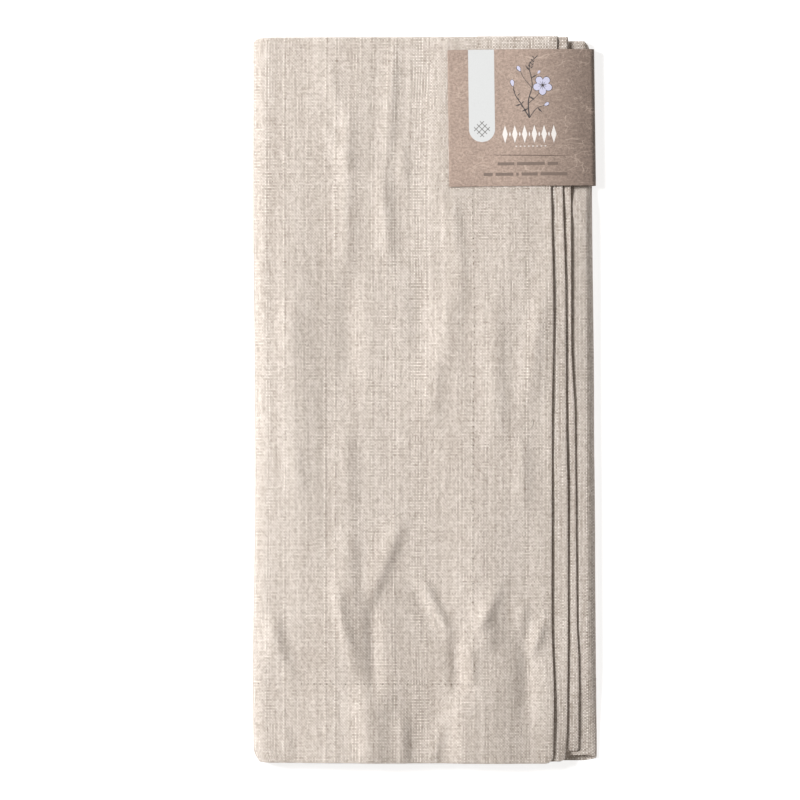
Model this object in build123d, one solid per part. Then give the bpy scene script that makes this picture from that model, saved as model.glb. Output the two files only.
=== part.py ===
from build123d import *

import os
from math import radians, sin

# Linen table runner, folded flat as it is sold, with a card label folded round one long edge.
#
# The cloth is one sheet. Its length is halved twice, which makes a stack of four layers, and the stack is
# then folded in three across its width: the right-hand third is tucked in first, and the left-hand third
# closes over it as a flap. So the pack is three panels of four layers each: the middle panel at the bottom,
# the tucked panel on it, and the flap on top.
#
# Layers are counted from the outside of the pack. Layer 0 is the skin that shows all round, and the end of
# the runner hangs free at its foot. Layer 1 ends there too. Layers 2 and 3 are joined at the foot by a fold.
# At the head, layers 0 and 3 are joined by the outer fold, and layers 1 and 2 by the fold inside it.
#
# X runs across the pack, Y along it from foot to head, and Z up. All sizes are in millimetres. The origin is
# the middle of the underside, on the surface that the pack lies on.

# --- the folded cloth ---
pack_length = 350.0                     # foot to head: a quarter of the runner's 1400
pack_width = 163.9                      # left-hand fold to right-hand fold: about a third of its 500
ply = 0.7                               # one layer of cloth
ply_gap = 0.4                           # air between two layers that lie on each other
flap_insets = (20.6, 13.2, 7.6, 10.4)   # flap's free edges, layer by layer, from the right-hand fold
tuck_insets = (2.4, 1.6, 0.8, 1.8)      # tucked panel's free edges from the axis of the left-hand fold
foot_insets = (0.0, 0.8, 6.0, 6.0)      # how far each layer stops short of the foot
flap_corner = 4.0                       # radius of the flap's free corners at the foot

# --- hems and their seams ---
hem_width = 39.5                        # turned edge, on all four sides of the runner
seam_margin = 1.5                       # from the hem's inner edge to the row of stitches
hem_growth = 0.2                        # how much thicker the turned edge lies, towards the inside
thread_width = 0.5
thread_depth = 0.3                      # the thread lies sunk in the cloth
thread_sink = 0.02                      # how far it lies below the surface, and its room in the groove

# --- the card label ---
card = 0.35                             # thickness of the card
leaf_width = 70.9                       # front leaf, from its free edge to the outside of the spine
back_leaf_width = 64.0                  # back leaf, the same way
label_height = 65.2                     # along the pack
label_drop = 6.9                        # from the head of the pack to the label's upper edge
label_turn = 0.75                       # degrees: it isn't quite square to the pack
card_bend = 2.4                         # radius of the two bends at the spine
leaf_ease = 40.0                        # radius of the gentle bend over the flap's edge
spine_room = 0.75                       # between the cloth's right-hand fold and the spine
card_lift = 0.45                        # between the cloth and the front leaf
pocket_gap = 0.2                        # between the back leaf and the cloth that it is pressed into
pocket_margin = 0.6                     # room round the back leaf
dot_radius = 4.0                        # glue dots
dot_clearance = 0.1                     # between a dot and the cloth

# --- what follows from them ---
layers = range(4)
pitch = ply + ply_gap
seam_inset = hem_width - seam_margin    # from the runner's edge to the row of stitches
stack_height = 3 * pitch + ply          # four layers
tuck_height = stack_height + 4 * pitch  # middle and tucked panels
pack_height = tuck_height + 4 * pitch   # all three panels
turn_reach = label_height / 2 * sin(radians(label_turn))  # how far the turn swings the spine's ends
label_reach = spine_room + card + turn_reach              # the label widens the pack on the right
left_x = -(pack_width + label_reach) / 2
right_x = left_x + pack_width
spine_x = right_x + spine_room + card
left_axis = left_x + pack_height / 2    # the left-hand fold turns about this line
right_axis = right_x - tuck_height / 2  # and the right-hand fold about this one
foot_y = -pack_length / 2
head_y = pack_length / 2
flap_ends = [right_x - inset for inset in flap_insets]
tuck_ends = [left_axis + inset for inset in tuck_insets]
foot_ends = [foot_y + inset for inset in foot_insets]
head_ends = [head_y, head_y - pitch, head_y - pitch, head_y]
leaf_slope = 2 * pitch / (flap_ends[2] - flap_ends[0])    # it rests on the edges of layers 0 and 2
label_x = spine_x - leaf_width / 2
label_y = head_y - label_drop - label_height / 2


def across(y):
    """The plane across the pack at y, with X to the right and Z up."""
    return Plane((0, y, 0), x_dir=(1, 0, 0), z_dir=(0, -1, 0))


def skin(depth, tuck_x, flap_x):
    """Line round the folds at a depth below the pack's outside, from the tucked edge to the flap's."""
    tuck_z = tuck_height - depth
    flap_z = pack_height - depth
    right_z = tuck_height / 2
    left_z = pack_height / 2
    return [
        Line((tuck_x, tuck_z), (right_axis, tuck_z)),
        ThreePointArc((right_axis, tuck_z), (right_axis + right_z - depth, right_z), (right_axis, depth)),
        Line((right_axis, depth), (left_axis, depth)),
        ThreePointArc((left_axis, depth), (left_axis - left_z + depth, left_z), (left_axis, flap_z)),
        Line((left_axis, flap_z), (flap_x, flap_z)),
    ]


def folded_sheet(depth, thickness, tuck_x, flap_x, low_y, high_y):
    """A sheet that goes round both folds of the pack, its outer face at a depth below the outside."""
    outer = skin(depth, tuck_x, flap_x)
    inner = skin(depth + thickness, tuck_x, flap_x)
    ends = [Line(outer[0] @ 0, inner[0] @ 0), Line(outer[-1] @ 1, inner[-1] @ 1)]
    section = across(low_y) * make_face(outer + inner + ends)
    return extrude(section, amount=high_y - low_y, dir=(0, 1, 0))


def slab(low_x, high_x, low_y, high_y, low_z, high_z):
    """A plain block between two corners."""
    size = (high_x - low_x, high_y - low_y, high_z - low_z)
    return Pos(low_x, low_y, low_z) * Box(*size, align=(Align.MIN, Align.MIN, Align.MIN))


def layer_sheet(layer):
    """One layer of cloth right across the pack."""
    return folded_sheet(
        layer * pitch, ply, tuck_ends[layer], flap_ends[layer], foot_ends[layer], head_ends[layer]
    )


def side_hems(layer):
    """The turned edges of one layer, at the flap's free edge and at the tucked one."""
    thickness = ply + hem_growth
    flap_top = pack_height - layer * pitch
    tuck_top = tuck_height - layer * pitch
    low_y, high_y = foot_ends[layer], head_ends[layer]
    flap_x, tuck_x = flap_ends[layer], tuck_ends[layer]
    return [
        slab(flap_x - hem_width, flap_x, low_y, high_y, flap_top - thickness, flap_top),
        slab(tuck_x, tuck_x + hem_width, low_y, high_y, tuck_top - thickness, tuck_top),
    ]


def end_hem(layer):
    """The turned end of the runner, on one of the two layers that end at the foot."""
    low_y = foot_ends[layer]
    return folded_sheet(
        layer * pitch, ply + hem_growth, tuck_ends[layer], flap_ends[layer], low_y, low_y + hem_width
    )


def fold_wall(first, last, low_y):
    """The cloth that turns from one layer to another at a fold across the pack, one ply deep."""
    tuck_x = max(tuck_ends[first:last + 1])
    flap_x = min(flap_ends[first:last + 1])
    return folded_sheet(first * pitch, (last - first) * pitch + ply, tuck_x, flap_x, low_y, low_y + ply)


def seam_x(layer):
    """Where the side seams of one layer run: tucked one first, flap one second."""
    return tuck_ends[layer] + seam_inset, flap_ends[layer] - seam_inset


def seam_y(layer):
    """Where the end seam of one layer runs."""
    return foot_ends[layer] + seam_inset


def side_run(layer, x, top_z, room):
    """One layer's straight run of a side seam, or its groove when it is given some room."""
    half = thread_width / 2 + room
    free_foot = layer < 2
    low_y = seam_y(layer) - thread_width / 2 if free_foot else foot_ends[layer] + ply
    high_y = head_ends[layer] - ply
    low_z = top_z - thread_depth - room
    high_z = top_z - thread_sink + room
    return slab(x - half, x + half, low_y - room, high_y + room, low_z, high_z)


def flap_runs(room=0.0):
    """The flap's side seam, one run in each layer."""
    return [side_run(n, seam_x(n)[1], pack_height - n * pitch, room) for n in layers]


def tucked_runs(room=0.0):
    """The tucked side seam, one run in each layer."""
    return [side_run(n, seam_x(n)[0], tuck_height - n * pitch, room) for n in layers]


def end_run(layer, room=0.0):
    """The end seam of one layer, round both folds, from one side seam to the other."""
    half = thread_width / 2 + room
    tuck_x, flap_x = seam_x(layer)
    start = tuck_x + thread_width / 2 + 2 * thread_sink - room
    stop = flap_x - thread_width / 2 - 2 * thread_sink + room
    depth = layer * pitch + thread_sink - room
    thickness = thread_depth - thread_sink + 2 * room
    return folded_sheet(depth, thickness, start, stop, seam_y(layer) - half, seam_y(layer) + half)


def card_line():
    """Middle line of the bent card: back leaf, spine, and a front leaf that falls over the flap's edges."""
    leaf_z = pack_height + card_lift + card / 2
    spine_mid = spine_x - card / 2
    spine_top = leaf_z - leaf_slope * (spine_mid - flap_ends[0])
    return FilletPolyline(
        (spine_x - back_leaf_width, card / 2),
        (spine_mid, card / 2),
        (spine_mid, spine_top),
        (flap_ends[0], leaf_z),
        (spine_x - leaf_width, leaf_z),
        radius=[card_bend, card_bend, leaf_ease],
    )


def label_card():
    """The label: a front leaf, a spine and a back leaf, bent from one card."""
    section = across(label_y - label_height / 2) * trace(card_line(), card)
    return turned(extrude(section, amount=label_height, dir=(0, 1, 0)))


def turned(piece):
    """Turn a piece of the label to the slight angle at which the label sits."""
    centre = Pos(label_x, label_y, 0)
    return centre * Rot(Z=label_turn) * centre.inverse() * piece


def glue_dot(low_z, high_z):
    """A flat round dot of glue under the middle of a leaf."""
    dot = Cylinder(dot_radius, high_z - low_z, align=(Align.CENTER, Align.CENTER, Align.MIN))
    return Pos(label_x, label_y, low_z) * dot


def front_glue_dot():
    """The dot between the cloth's top and the front leaf."""
    return glue_dot(pack_height + dot_clearance, pack_height + card_lift)


def back_glue_dot():
    """The dot between the back leaf and the cloth above it."""
    return glue_dot(card, card + pocket_gap - dot_clearance)


def leaf_pocket():
    """The shallow bed that the back leaf is pressed into, open to the right."""
    leaf = label_card().bounding_box()
    low_x = spine_x - back_leaf_width - pocket_margin
    low_y, high_y = leaf.min.Y - pocket_margin, leaf.max.Y + pocket_margin
    return slab(low_x, spine_x, low_y, high_y, -card, card + pocket_gap)


def linen_cloth():
    """The whole sheet, folded: its layers, the folds that join them, its hems, and the seams' grooves."""
    sheets = [layer_sheet(n) for n in layers]
    hems = [hem for n in layers for hem in side_hems(n)] + [end_hem(0), end_hem(1)]
    folds = [
        fold_wall(0, 3, head_y - ply),
        fold_wall(1, 2, head_y - pitch - ply),
        fold_wall(2, 3, foot_ends[2]),
    ]
    cloth = Part() + sheets + hems + folds
    grooves = flap_runs(thread_sink) + tucked_runs(thread_sink)
    grooves += [end_run(0, thread_sink), end_run(1, thread_sink), leaf_pocket()]
    cloth = cloth - grooves
    corners = cloth.edges().filter_by(Axis.Z).filter_by(
        lambda edge: edge.center().X > flap_ends[0] - 1 and edge.center().Y < foot_ends[1] + 1
    )
    return fillet(corners, flap_corner)


pieces = {
    "linen_cloth": linen_cloth(),
    "side_hem_thread_flap": Compound(children=flap_runs()),
    "side_hem_thread_tucked": Compound(children=tucked_runs()),
    "end_hem_thread_outer": end_run(0),
    "end_hem_thread_inner": end_run(1),
    "label_card": label_card(),
    "front_glue_dot": front_glue_dot(),
    "back_glue_dot": back_glue_dot(),
}

os.makedirs("parts", exist_ok=True)
for name, piece in pieces.items():
    export_step(piece, os.path.join("parts", name + ".step"))
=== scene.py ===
"""A linen table runner folded flat as it is sold, with a card label folded round one long edge.

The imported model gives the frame: the folded cloth, the runs of hem thread, the card and its glue dots. This
script dresses them: one sheet of linen that really goes through all of its folds, stitches and needle holes
along the four hems, the bent and printed card, and a few loose fibres.
"""

import logging
import math
from dataclasses import dataclass
from enum import Enum
from typing import Sequence

import bmesh
import bpy
import numpy as np
from mathutils import Matrix, Vector


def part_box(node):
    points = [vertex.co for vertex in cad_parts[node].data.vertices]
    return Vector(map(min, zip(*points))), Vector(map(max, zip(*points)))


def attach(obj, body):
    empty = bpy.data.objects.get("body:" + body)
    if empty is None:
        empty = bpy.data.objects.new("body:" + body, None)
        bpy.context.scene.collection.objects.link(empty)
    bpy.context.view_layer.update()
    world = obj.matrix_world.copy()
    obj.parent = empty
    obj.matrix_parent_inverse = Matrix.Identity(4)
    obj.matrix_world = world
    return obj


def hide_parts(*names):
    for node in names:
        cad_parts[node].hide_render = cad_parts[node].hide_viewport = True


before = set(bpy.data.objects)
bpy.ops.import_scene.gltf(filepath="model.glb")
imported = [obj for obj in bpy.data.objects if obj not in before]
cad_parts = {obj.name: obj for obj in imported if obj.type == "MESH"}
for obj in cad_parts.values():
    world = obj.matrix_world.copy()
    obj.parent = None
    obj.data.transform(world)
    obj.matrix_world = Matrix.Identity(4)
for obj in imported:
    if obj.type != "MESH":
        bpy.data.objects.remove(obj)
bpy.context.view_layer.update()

MM = 0.001
LOG = logging.getLogger("table_runner")

Array = np.ndarray
Socket = bpy.types.NodeSocket
Value = bpy.types.NodeSocket | float
Colour = tuple[float, float, float]


# ---- Small helpers: curves, noise, meshes ----

def ease(share: Array | float) -> Array | float:
    """Smooth step from 0 to 1, flat at both ends."""
    held = np.clip(share, 0.0, 1.0)
    return held * held * (3.0 - 2.0 * held)


def between(value: Array, low: float, high: float) -> Array:
    """How far a value has gone from low to high, eased."""
    return ease((value - low) / (high - low))


def soft_noise(x: Array, y: Array, cell_x: float, cell_y: float, seed: int) -> Array:
    """Smooth random hills on a lattice.

    Args:
        x: Places along the first axis, in metres.
        y: Places along the second axis, in metres.
        cell_x: Width of a lattice cell, in metres.
        cell_y: Height of a lattice cell, in metres.
        seed: Fixed seed of the lattice.

    Returns:
        Heights from -1 to 1, in the shape of x.
    """
    size = 64
    lattice = np.random.default_rng(seed).uniform(-1.0, 1.0, (size, size))
    u, v = x / cell_x + size / 2, y / cell_y + size / 2
    column, row = np.floor(u).astype(int), np.floor(v).astype(int)
    across, along = ease(u - column), ease(v - row)
    left, right = column % size, (column + 1) % size
    low, high = row % size, (row + 1) % size
    bottom = lattice[low, left] * (1 - across) + lattice[low, right] * across
    top = lattice[high, left] * (1 - across) + lattice[high, right] * across
    return bottom * (1 - along) + top * along


def put(name: str, data: bpy.types.ID) -> bpy.types.Object:
    """Make an object of a mesh, a lamp or a lens, and link it to the scene."""
    made = bpy.data.objects.new(name, data)
    bpy.context.scene.collection.objects.link(made)
    return made


def new_piece(
    name: str, points: Array, faces: Sequence[Sequence[int]], smooth: bool = True
) -> bpy.types.Object:
    """Make a mesh object at the origin.

    Args:
        name: Name of the piece.
        points: Its corners in the row frame, in metres, one row each.
        faces: Its faces, as lists of corner numbers.
        smooth: Whether its faces are shaded smooth.

    Returns:
        The new object, linked to the scene.
    """
    mesh = bpy.data.meshes.new(name)
    mesh.from_pydata([tuple(p) for p in points], [], [tuple(f) for f in faces])
    mesh.validate()
    mesh.shade_smooth() if smooth else mesh.shade_flat()
    return put(name, mesh)


def grid_faces(number: Array) -> Array:
    """The four corner numbers of each face of a grid of corners."""
    faces = np.stack([number[:-1, :-1], number[:-1, 1:], number[1:, 1:], number[1:, :-1]], axis=-1)
    return faces.reshape(-1, 4)


def grid_walls(number: Array, below: int) -> Array:
    """Faces that close the rim of a grid down to a grid whose numbers are higher by the number below."""
    ring = np.concatenate([number[0, :], number[1:, -1], number[-1, -2::-1], number[-2:0:-1, 0]])
    after = np.roll(ring, -1)
    return np.column_stack([ring, after, after + below, ring + below])


def add_place(piece: bpy.types.Object, name: str, values: Array) -> None:
    """Store a vector on each corner of a piece, for its material to read."""
    attribute = piece.data.attributes.new(name, "FLOAT_VECTOR", "POINT")
    attribute.data.foreach_set("vector", np.ascontiguousarray(values, np.float32).ravel())


def show_count(piece: bpy.types.Object) -> None:
    """Report a finished piece and how many triangles it has."""
    triangles = sum(len(p.vertices) - 2 for p in piece.data.polygons)
    LOG.info("%s: %d triangles", piece.name, triangles)


@dataclass(frozen=True)
class Wander:
    """A quantity that drifts gently along the pack, from its foot to its head."""

    shares: tuple[float, ...]
    values: tuple[float, ...]

    def at(self, share: Array) -> Array:
        """Value at a share of the way from foot to head, eased between the stated places."""
        shares, values = np.array(self.shares), np.array(self.values)
        place = np.clip(np.searchsorted(shares, share, side="right") - 1, 0, len(shares) - 2)
        step = ease((share - shares[place]) / (shares[place + 1] - shares[place]))
        return values[place] + (values[place + 1] - values[place]) * step


# ---- Finishes ----

class Bench:
    """A material being wired up, with short ways to add its nodes."""

    def __init__(self, name: str) -> None:
        """Start a material with a principled shader and its output."""
        self.material = bpy.data.materials.new(name)
        self.material.use_nodes = True
        self.tree = self.material.node_tree
        self.tree.nodes.clear()
        self.shader = self.tree.nodes.new("ShaderNodeBsdfPrincipled")
        output = self.tree.nodes.new("ShaderNodeOutputMaterial")
        self.tree.links.new(self.shader.outputs["BSDF"], output.inputs["Surface"])

    def wire(self, socket: Socket, value: Value | Sequence[float]) -> None:
        """Link a socket, or set its value."""
        if isinstance(value, bpy.types.NodeSocket):
            self.tree.links.new(value, socket)
        else:
            socket.default_value = value

    def node(self, kind: str, **options: object) -> bpy.types.Node:
        """Add a node and set its options."""
        made = self.tree.nodes.new(kind)
        for name, value in options.items():
            setattr(made, name, value)
        return made

    def math(self, operation: str, first: Value, second: Value = 0.0) -> Socket:
        """Add a math node."""
        made = self.node("ShaderNodeMath", operation=operation)
        self.wire(made.inputs[0], first)
        self.wire(made.inputs[1], second)
        return made.outputs[0]

    def times(self, first: Value, second: Value) -> Socket:
        """Multiply two values."""
        return self.math("MULTIPLY", first, second)

    def plus(self, first: Value, second: Value) -> Socket:
        """Add two values."""
        return self.math("ADD", first, second)

    def minus(self, first: Value, second: Value) -> Socket:
        """Take the second value from the first."""
        return self.math("SUBTRACT", first, second)

    def ramp(self, value: Socket, low: float, high: float, start: float = 0.0, stop: float = 1.0) -> Socket:
        """Map a value smoothly from the range low..high to start..stop."""
        made = self.node("ShaderNodeMapRange", interpolation_type="SMOOTHSTEP")
        names = ("Value", "From Min", "From Max", "To Min", "To Max")
        for name, given in zip(names, (value, low, high, start, stop)):
            self.wire(made.inputs[name], given)
        return made.outputs["Result"]

    def vector(self, x: Value, y: Value, z: Value = 0.0) -> Socket:
        """Join three values into a vector."""
        made = self.node("ShaderNodeCombineXYZ")
        for socket, value in zip(made.inputs, (x, y, z)):
            self.wire(socket, value)
        return made.outputs[0]

    def split(self, vector: Socket) -> tuple[Socket, Socket, Socket]:
        """Take a vector apart."""
        made = self.node("ShaderNodeSeparateXYZ")
        self.wire(made.inputs[0], vector)
        return made.outputs[0], made.outputs[1], made.outputs[2]

    def place(self, name: str) -> Socket:
        """Read a vector that is stored on the piece."""
        return self.node("ShaderNodeAttribute", attribute_name=name).outputs["Vector"]

    def here(self) -> Socket:
        """The place on the piece, in metres."""
        return self.node("ShaderNodeTexCoord").outputs["Object"]

    def noise(self, vector: Socket, scale: float, detail: float = 2.0, roughness: float = 0.5) -> Socket:
        """Add a noise texture and give its grey value."""
        made = self.node("ShaderNodeTexNoise")
        self.wire(made.inputs["Vector"], vector)
        for name, value in (("Scale", scale), ("Detail", detail), ("Roughness", roughness)):
            made.inputs[name].default_value = value
        return made.outputs["Fac"]

    def random(self, value: Socket) -> Socket:
        """A random number from 0 to 1 for each whole number."""
        made = self.node("ShaderNodeTexWhiteNoise", noise_dimensions="1D")
        self.wire(made.inputs["W"], value)
        return made.outputs["Value"]

    def blend(self, factor: Value, first: object, second: object) -> Socket:
        """Mix two colours."""
        made = self.node("ShaderNodeMix", data_type="RGBA")
        for place, value in ((0, factor), (6, first), (7, second)):
            if isinstance(value, tuple):
                value = (*value, 1.0)
            self.wire(made.inputs[place], value)
        return made.outputs[2]

    def tint(self, colour: Colour, strength: Socket) -> Socket:
        """A colour made lighter or darker by a value."""
        made = self.node("ShaderNodeVectorMath", operation="SCALE")
        made.inputs[0].default_value = colour
        self.wire(made.inputs["Scale"], strength)
        return made.outputs[0]

    def bump(self, height: Socket, distance: float) -> None:
        """Raise the surface by a height of up to distance, in metres."""
        made = self.node("ShaderNodeBump")
        self.wire(made.inputs["Height"], height)
        made.inputs["Distance"].default_value = distance
        self.wire(self.shader.inputs["Normal"], made.outputs[0])

    def finish(self, colour: Socket, roughness: Value, sheen: float = 0.0) -> bpy.types.Material:
        """Connect the colour and roughness, set the soft sheen of fibres, and give the material."""
        self.wire(self.shader.inputs["Base Color"], colour)
        self.wire(self.shader.inputs["Roughness"], roughness)
        self.shader.inputs["Sheen Weight"].default_value = sheen
        self.shader.inputs["Sheen Roughness"].default_value = 0.6
        return self.material


@dataclass(frozen=True)
class LinenFinish:
    """Undyed plain-weave linen, washed: uneven yarns both ways, with slubs and small gaps between them, where
    shade is painted into the colour.
    """

    light: Colour = (0.76, 0.692, 0.638)
    # dark is both the yarns' darker tone and the colour of the painted shade in the gaps between yarns.
    dark: Colour = (0.30, 0.235, 0.185)
    warp_pitch: float = 0.66 * MM
    weft_pitch: float = 0.72 * MM
    wander: float = 0.8 * MM
    yarn_tone: float = 0.55
    slub_tone: float = 0.54
    weft_share: float = 0.37
    float_tone: float = 0.25
    fleck_tone: float = 0.53
    base_tone: float = 0.87
    # How dark the painted shade in the gaps between the yarns is.
    gap_shade: float = 0.94
    relief: float = 0.14 * MM
    pucker: float = 0.10 * MM

    def yarns(
        self, bench: Bench, across: Socket, along: Socket, pitch: float, seed: float
    ) -> tuple[Socket, Socket]:
        """One set of parallel yarns.

        Args:
            bench: The material being wired.
            across: Place across the yarns, in metres.
            along: Place along them, in metres.
            pitch: Distance from yarn to yarn, in metres.
            seed: Tells one set of yarns from the other.

        Returns:
            The wave across the yarns, and each yarn's own tone, which varies along it.
        """
        count = bench.math("DIVIDE", across, pitch)
        number = bench.math("FLOOR", count)
        wave = bench.math("SINE", bench.times(count, math.pi))
        here, beside = (bench.random(bench.plus(number, seed + step)) for step in (0.0, 1.0))
        own = bench.minus(here, beside)
        lane = bench.vector(bench.times(number, 7.31), bench.times(along, 95.0), seed)
        slub = bench.minus(bench.noise(lane, 1.0, 3.0, 0.65), 0.5)
        return wave, bench.plus(bench.times(own, self.yarn_tone), bench.times(slub, self.slub_tone))

    def material(self) -> bpy.types.Material:
        """Wire the weave from the flat cloth's own coordinates."""
        bench = Bench("linen_weave")
        flat = bench.place("flat")
        width, length, _ = bench.split(flat)
        drift = bench.minus(bench.noise(flat, 38.0, 3.0), 0.5)
        sway = bench.minus(bench.noise(bench.vector(length, width, 0.4), 46.0, 3.0), 0.5)
        across = bench.plus(width, bench.times(drift, self.wander))
        along = bench.plus(length, bench.times(sway, self.wander))
        warp_wave, warp_tone = self.yarns(bench, across, along, self.warp_pitch, 0.0)
        weft_wave, weft_tone = self.yarns(bench, along, across, self.weft_pitch, 900.0)
        crossing = bench.times(warp_wave, weft_wave)
        over = bench.ramp(crossing, -1.0, 1.0)
        above = bench.ramp(crossing, -0.25, 0.25)
        under = bench.minus(1.0, over)
        height = bench.math(
            "MAXIMUM",
            bench.times(bench.math("ABSOLUTE", warp_wave), over),
            bench.times(bench.math("ABSOLUTE", weft_wave), under),
        )
        weft_part = bench.minus(bench.times(weft_tone, self.weft_share), self.float_tone)
        warp_part = bench.plus(warp_tone, self.float_tone)
        tone = bench.node("ShaderNodeMix", data_type="FLOAT")
        for place, value in ((0, above), (2, weft_part), (3, warp_part)):
            bench.wire(tone.inputs[place], value)
        yarn = tone.outputs[0]
        streak = bench.noise(bench.vector(bench.times(across, 330.0), bench.times(along, 16.0)),
                             1.0, 3.0, 0.6)
        # Painted shade: the colour darkens where the yarns dip, in the gaps between them; open_weave varies
        # how far that painted shade reaches.
        open_weave = bench.ramp(bench.noise(bench.vector(bench.times(across, 4.0), along), 130.0, 3.0, 0.6),
                                0.3, 0.7, 0.0, 0.14)
        gap = bench.ramp(bench.minus(height, open_weave), 0.02, 0.42, self.gap_shade, 0.0)
        cloud = bench.ramp(bench.noise(bench.vector(bench.times(width, 4.0), length), 9.0, 3.0, 0.5),
                           0.3, 0.7, -0.05, 0.05)
        band = bench.ramp(streak, 0.3, 0.7, -0.06, 0.06)
        cell = bench.node("ShaderNodeTexWhiteNoise", noise_dimensions="2D")
        bench.wire(cell.inputs["Vector"], bench.vector(
            bench.math("FLOOR", bench.math("DIVIDE", across, self.warp_pitch)),
            bench.math("FLOOR", bench.math("DIVIDE", along, self.weft_pitch)),
        ))
        fleck = bench.times(bench.minus(cell.outputs["Value"], 0.5), self.fleck_tone)
        share = bench.plus(bench.plus(yarn, fleck), bench.plus(cloud, band))
        share = bench.plus(share, self.base_tone)
        colour = bench.blend(bench.minus(share, gap), self.dark, self.light)
        colour.node.clamp_factor = False
        raised = bench.plus(height, bench.times(yarn, 0.8))
        bench.bump(bench.plus(raised, bench.times(streak, self.pucker / self.relief)), self.relief)
        return bench.finish(colour, 0.92, sheen=0.1)


@dataclass(frozen=True)
class ThreadFinish:
    """Matt sewing thread, its plies twisted round each other."""

    colour: Colour = (0.60, 0.53, 0.46)
    twist: float = 5200.0

    def material(self) -> bpy.types.Material:
        """Wire diagonal plies and a little fuzz."""
        bench = Bench("hem_thread")
        place = bench.here()
        x, y, z = bench.split(place)
        lay = bench.plus(bench.plus(x, y), z)
        ply = bench.math("SINE", bench.times(lay, self.twist))
        fuzz = bench.noise(place, 2600.0, 2.0)
        shade = bench.ramp(ply, -1.0, 0.6, 0.78, 1.0)
        light = bench.times(shade, bench.ramp(fuzz, 0.2, 0.8, 0.9, 1.08))
        bench.bump(ply, 0.05 * MM)
        return bench.finish(bench.tint(self.colour, light), 0.85, sheen=0.15)


@dataclass(frozen=True)
class CardFinish:
    """Uncoated brown card, printed with a crumpled-paper pattern of fine pale veins."""

    colour: Colour = (0.405, 0.306, 0.256)
    vein: Colour = (0.60, 0.475, 0.40)
    vein_scale: float = 105.0
    # Painted shade: the leaf darkens towards the bend, where it slopes away from the light.
    shade_from: float = 34.0 * MM
    shade_to: float = 72.0 * MM
    shade: float = 0.66
    # Painted shade: a dark band where the card turns round the bend.
    fold_from: float = 68.6 * MM
    fold_at: float = 70.7 * MM
    fold_end: float = 72.4 * MM
    fold_shade: float = 0.64

    def veins(self, bench: Bench, place: Socket, scale: float, width: float, seed: float) -> Socket:
        """Thin broken lines, where cells of a bent pattern meet.

        Args:
            bench: The material being wired.
            place: Place on the leaf, in metres.
            scale: Cells in a metre.
            width: Width of a line, as a share of a cell.
            seed: Shifts the pattern.

        Returns:
            1 on a line and 0 off it.
        """
        bend = bench.node("ShaderNodeTexNoise")
        bench.wire(bend.inputs["Vector"], place)
        bend.inputs["Scale"].default_value = scale * 0.7
        bend.inputs["Detail"].default_value = 3.0
        moved = bench.node("ShaderNodeVectorMath", operation="MULTIPLY_ADD")
        bench.wire(moved.inputs[0], bend.outputs["Color"])
        moved.inputs[1].default_value = (0.024, 0.024, 0.0)
        bench.wire(moved.inputs[2], place)
        shift = bench.node("ShaderNodeVectorMath", operation="ADD")
        bench.wire(shift.inputs[0], moved.outputs[0])
        shift.inputs[1].default_value = (seed, seed * 0.7, 0.0)
        cells = bench.node("ShaderNodeTexVoronoi", feature="DISTANCE_TO_EDGE")
        bench.wire(cells.inputs["Vector"], shift.outputs[0])
        cells.inputs["Scale"].default_value = scale
        line = bench.ramp(cells.outputs["Distance"], 0.0, width, 1.0, 0.0)
        gaps = bench.ramp(bench.noise(shift.outputs[0], scale * 1.3, 2.0), 0.44, 0.60)
        return bench.times(line, gaps)

    def material(self) -> bpy.types.Material:
        """Wire the printed veins, the grain of the board, its slight unevenness, and painted shade towards
        the bend and along it.
        """
        bench = Bench("label_board")
        place = bench.place("leaf")
        along, up, side = bench.split(place)
        slanted = bench.vector(
            bench.times(bench.plus(along, bench.times(up, 0.5)), 0.55),
            bench.times(up, 1.25), side,
        )
        grain = bench.noise(place, 800.0, 5.0, 0.85)
        blotch = bench.noise(place, 60.0, 4.0, 0.6)
        light = bench.times(bench.ramp(grain, 0.3, 0.7, 0.66, 1.34), bench.ramp(blotch, 0.3, 0.7, 0.95, 1.05))
        # Painted shade, darker towards the bend.
        light = bench.times(light, bench.ramp(along, self.shade_from, self.shade_to, 1.0, self.shade))
        # Painted shade of the bend: darkest where the card turns, lighter on both sides of it.
        painted_bend_shade = bench.math(
            "MAXIMUM",
            bench.ramp(along, self.fold_from, self.fold_at, 1.0, self.fold_shade),
            bench.ramp(along, self.fold_at, self.fold_end, self.fold_shade, 1.0),
        )
        light = bench.times(light, painted_bend_shade)
        board = bench.tint(self.colour, light)
        lines = bench.math(
            "MAXIMUM",
            self.veins(bench, slanted, self.vein_scale, 0.024, 3.1),
            bench.times(self.veins(bench, slanted, self.vein_scale * 1.9, 0.04, 8.4), 0.75),
        )
        colour = bench.blend(bench.times(lines, 0.72), board, self.vein)
        height = bench.plus(bench.times(grain, 0.6), bench.times(lines, 0.8))
        bench.bump(height, 0.02 * MM)
        return bench.finish(colour, 0.78, sheen=0.05)


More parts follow.
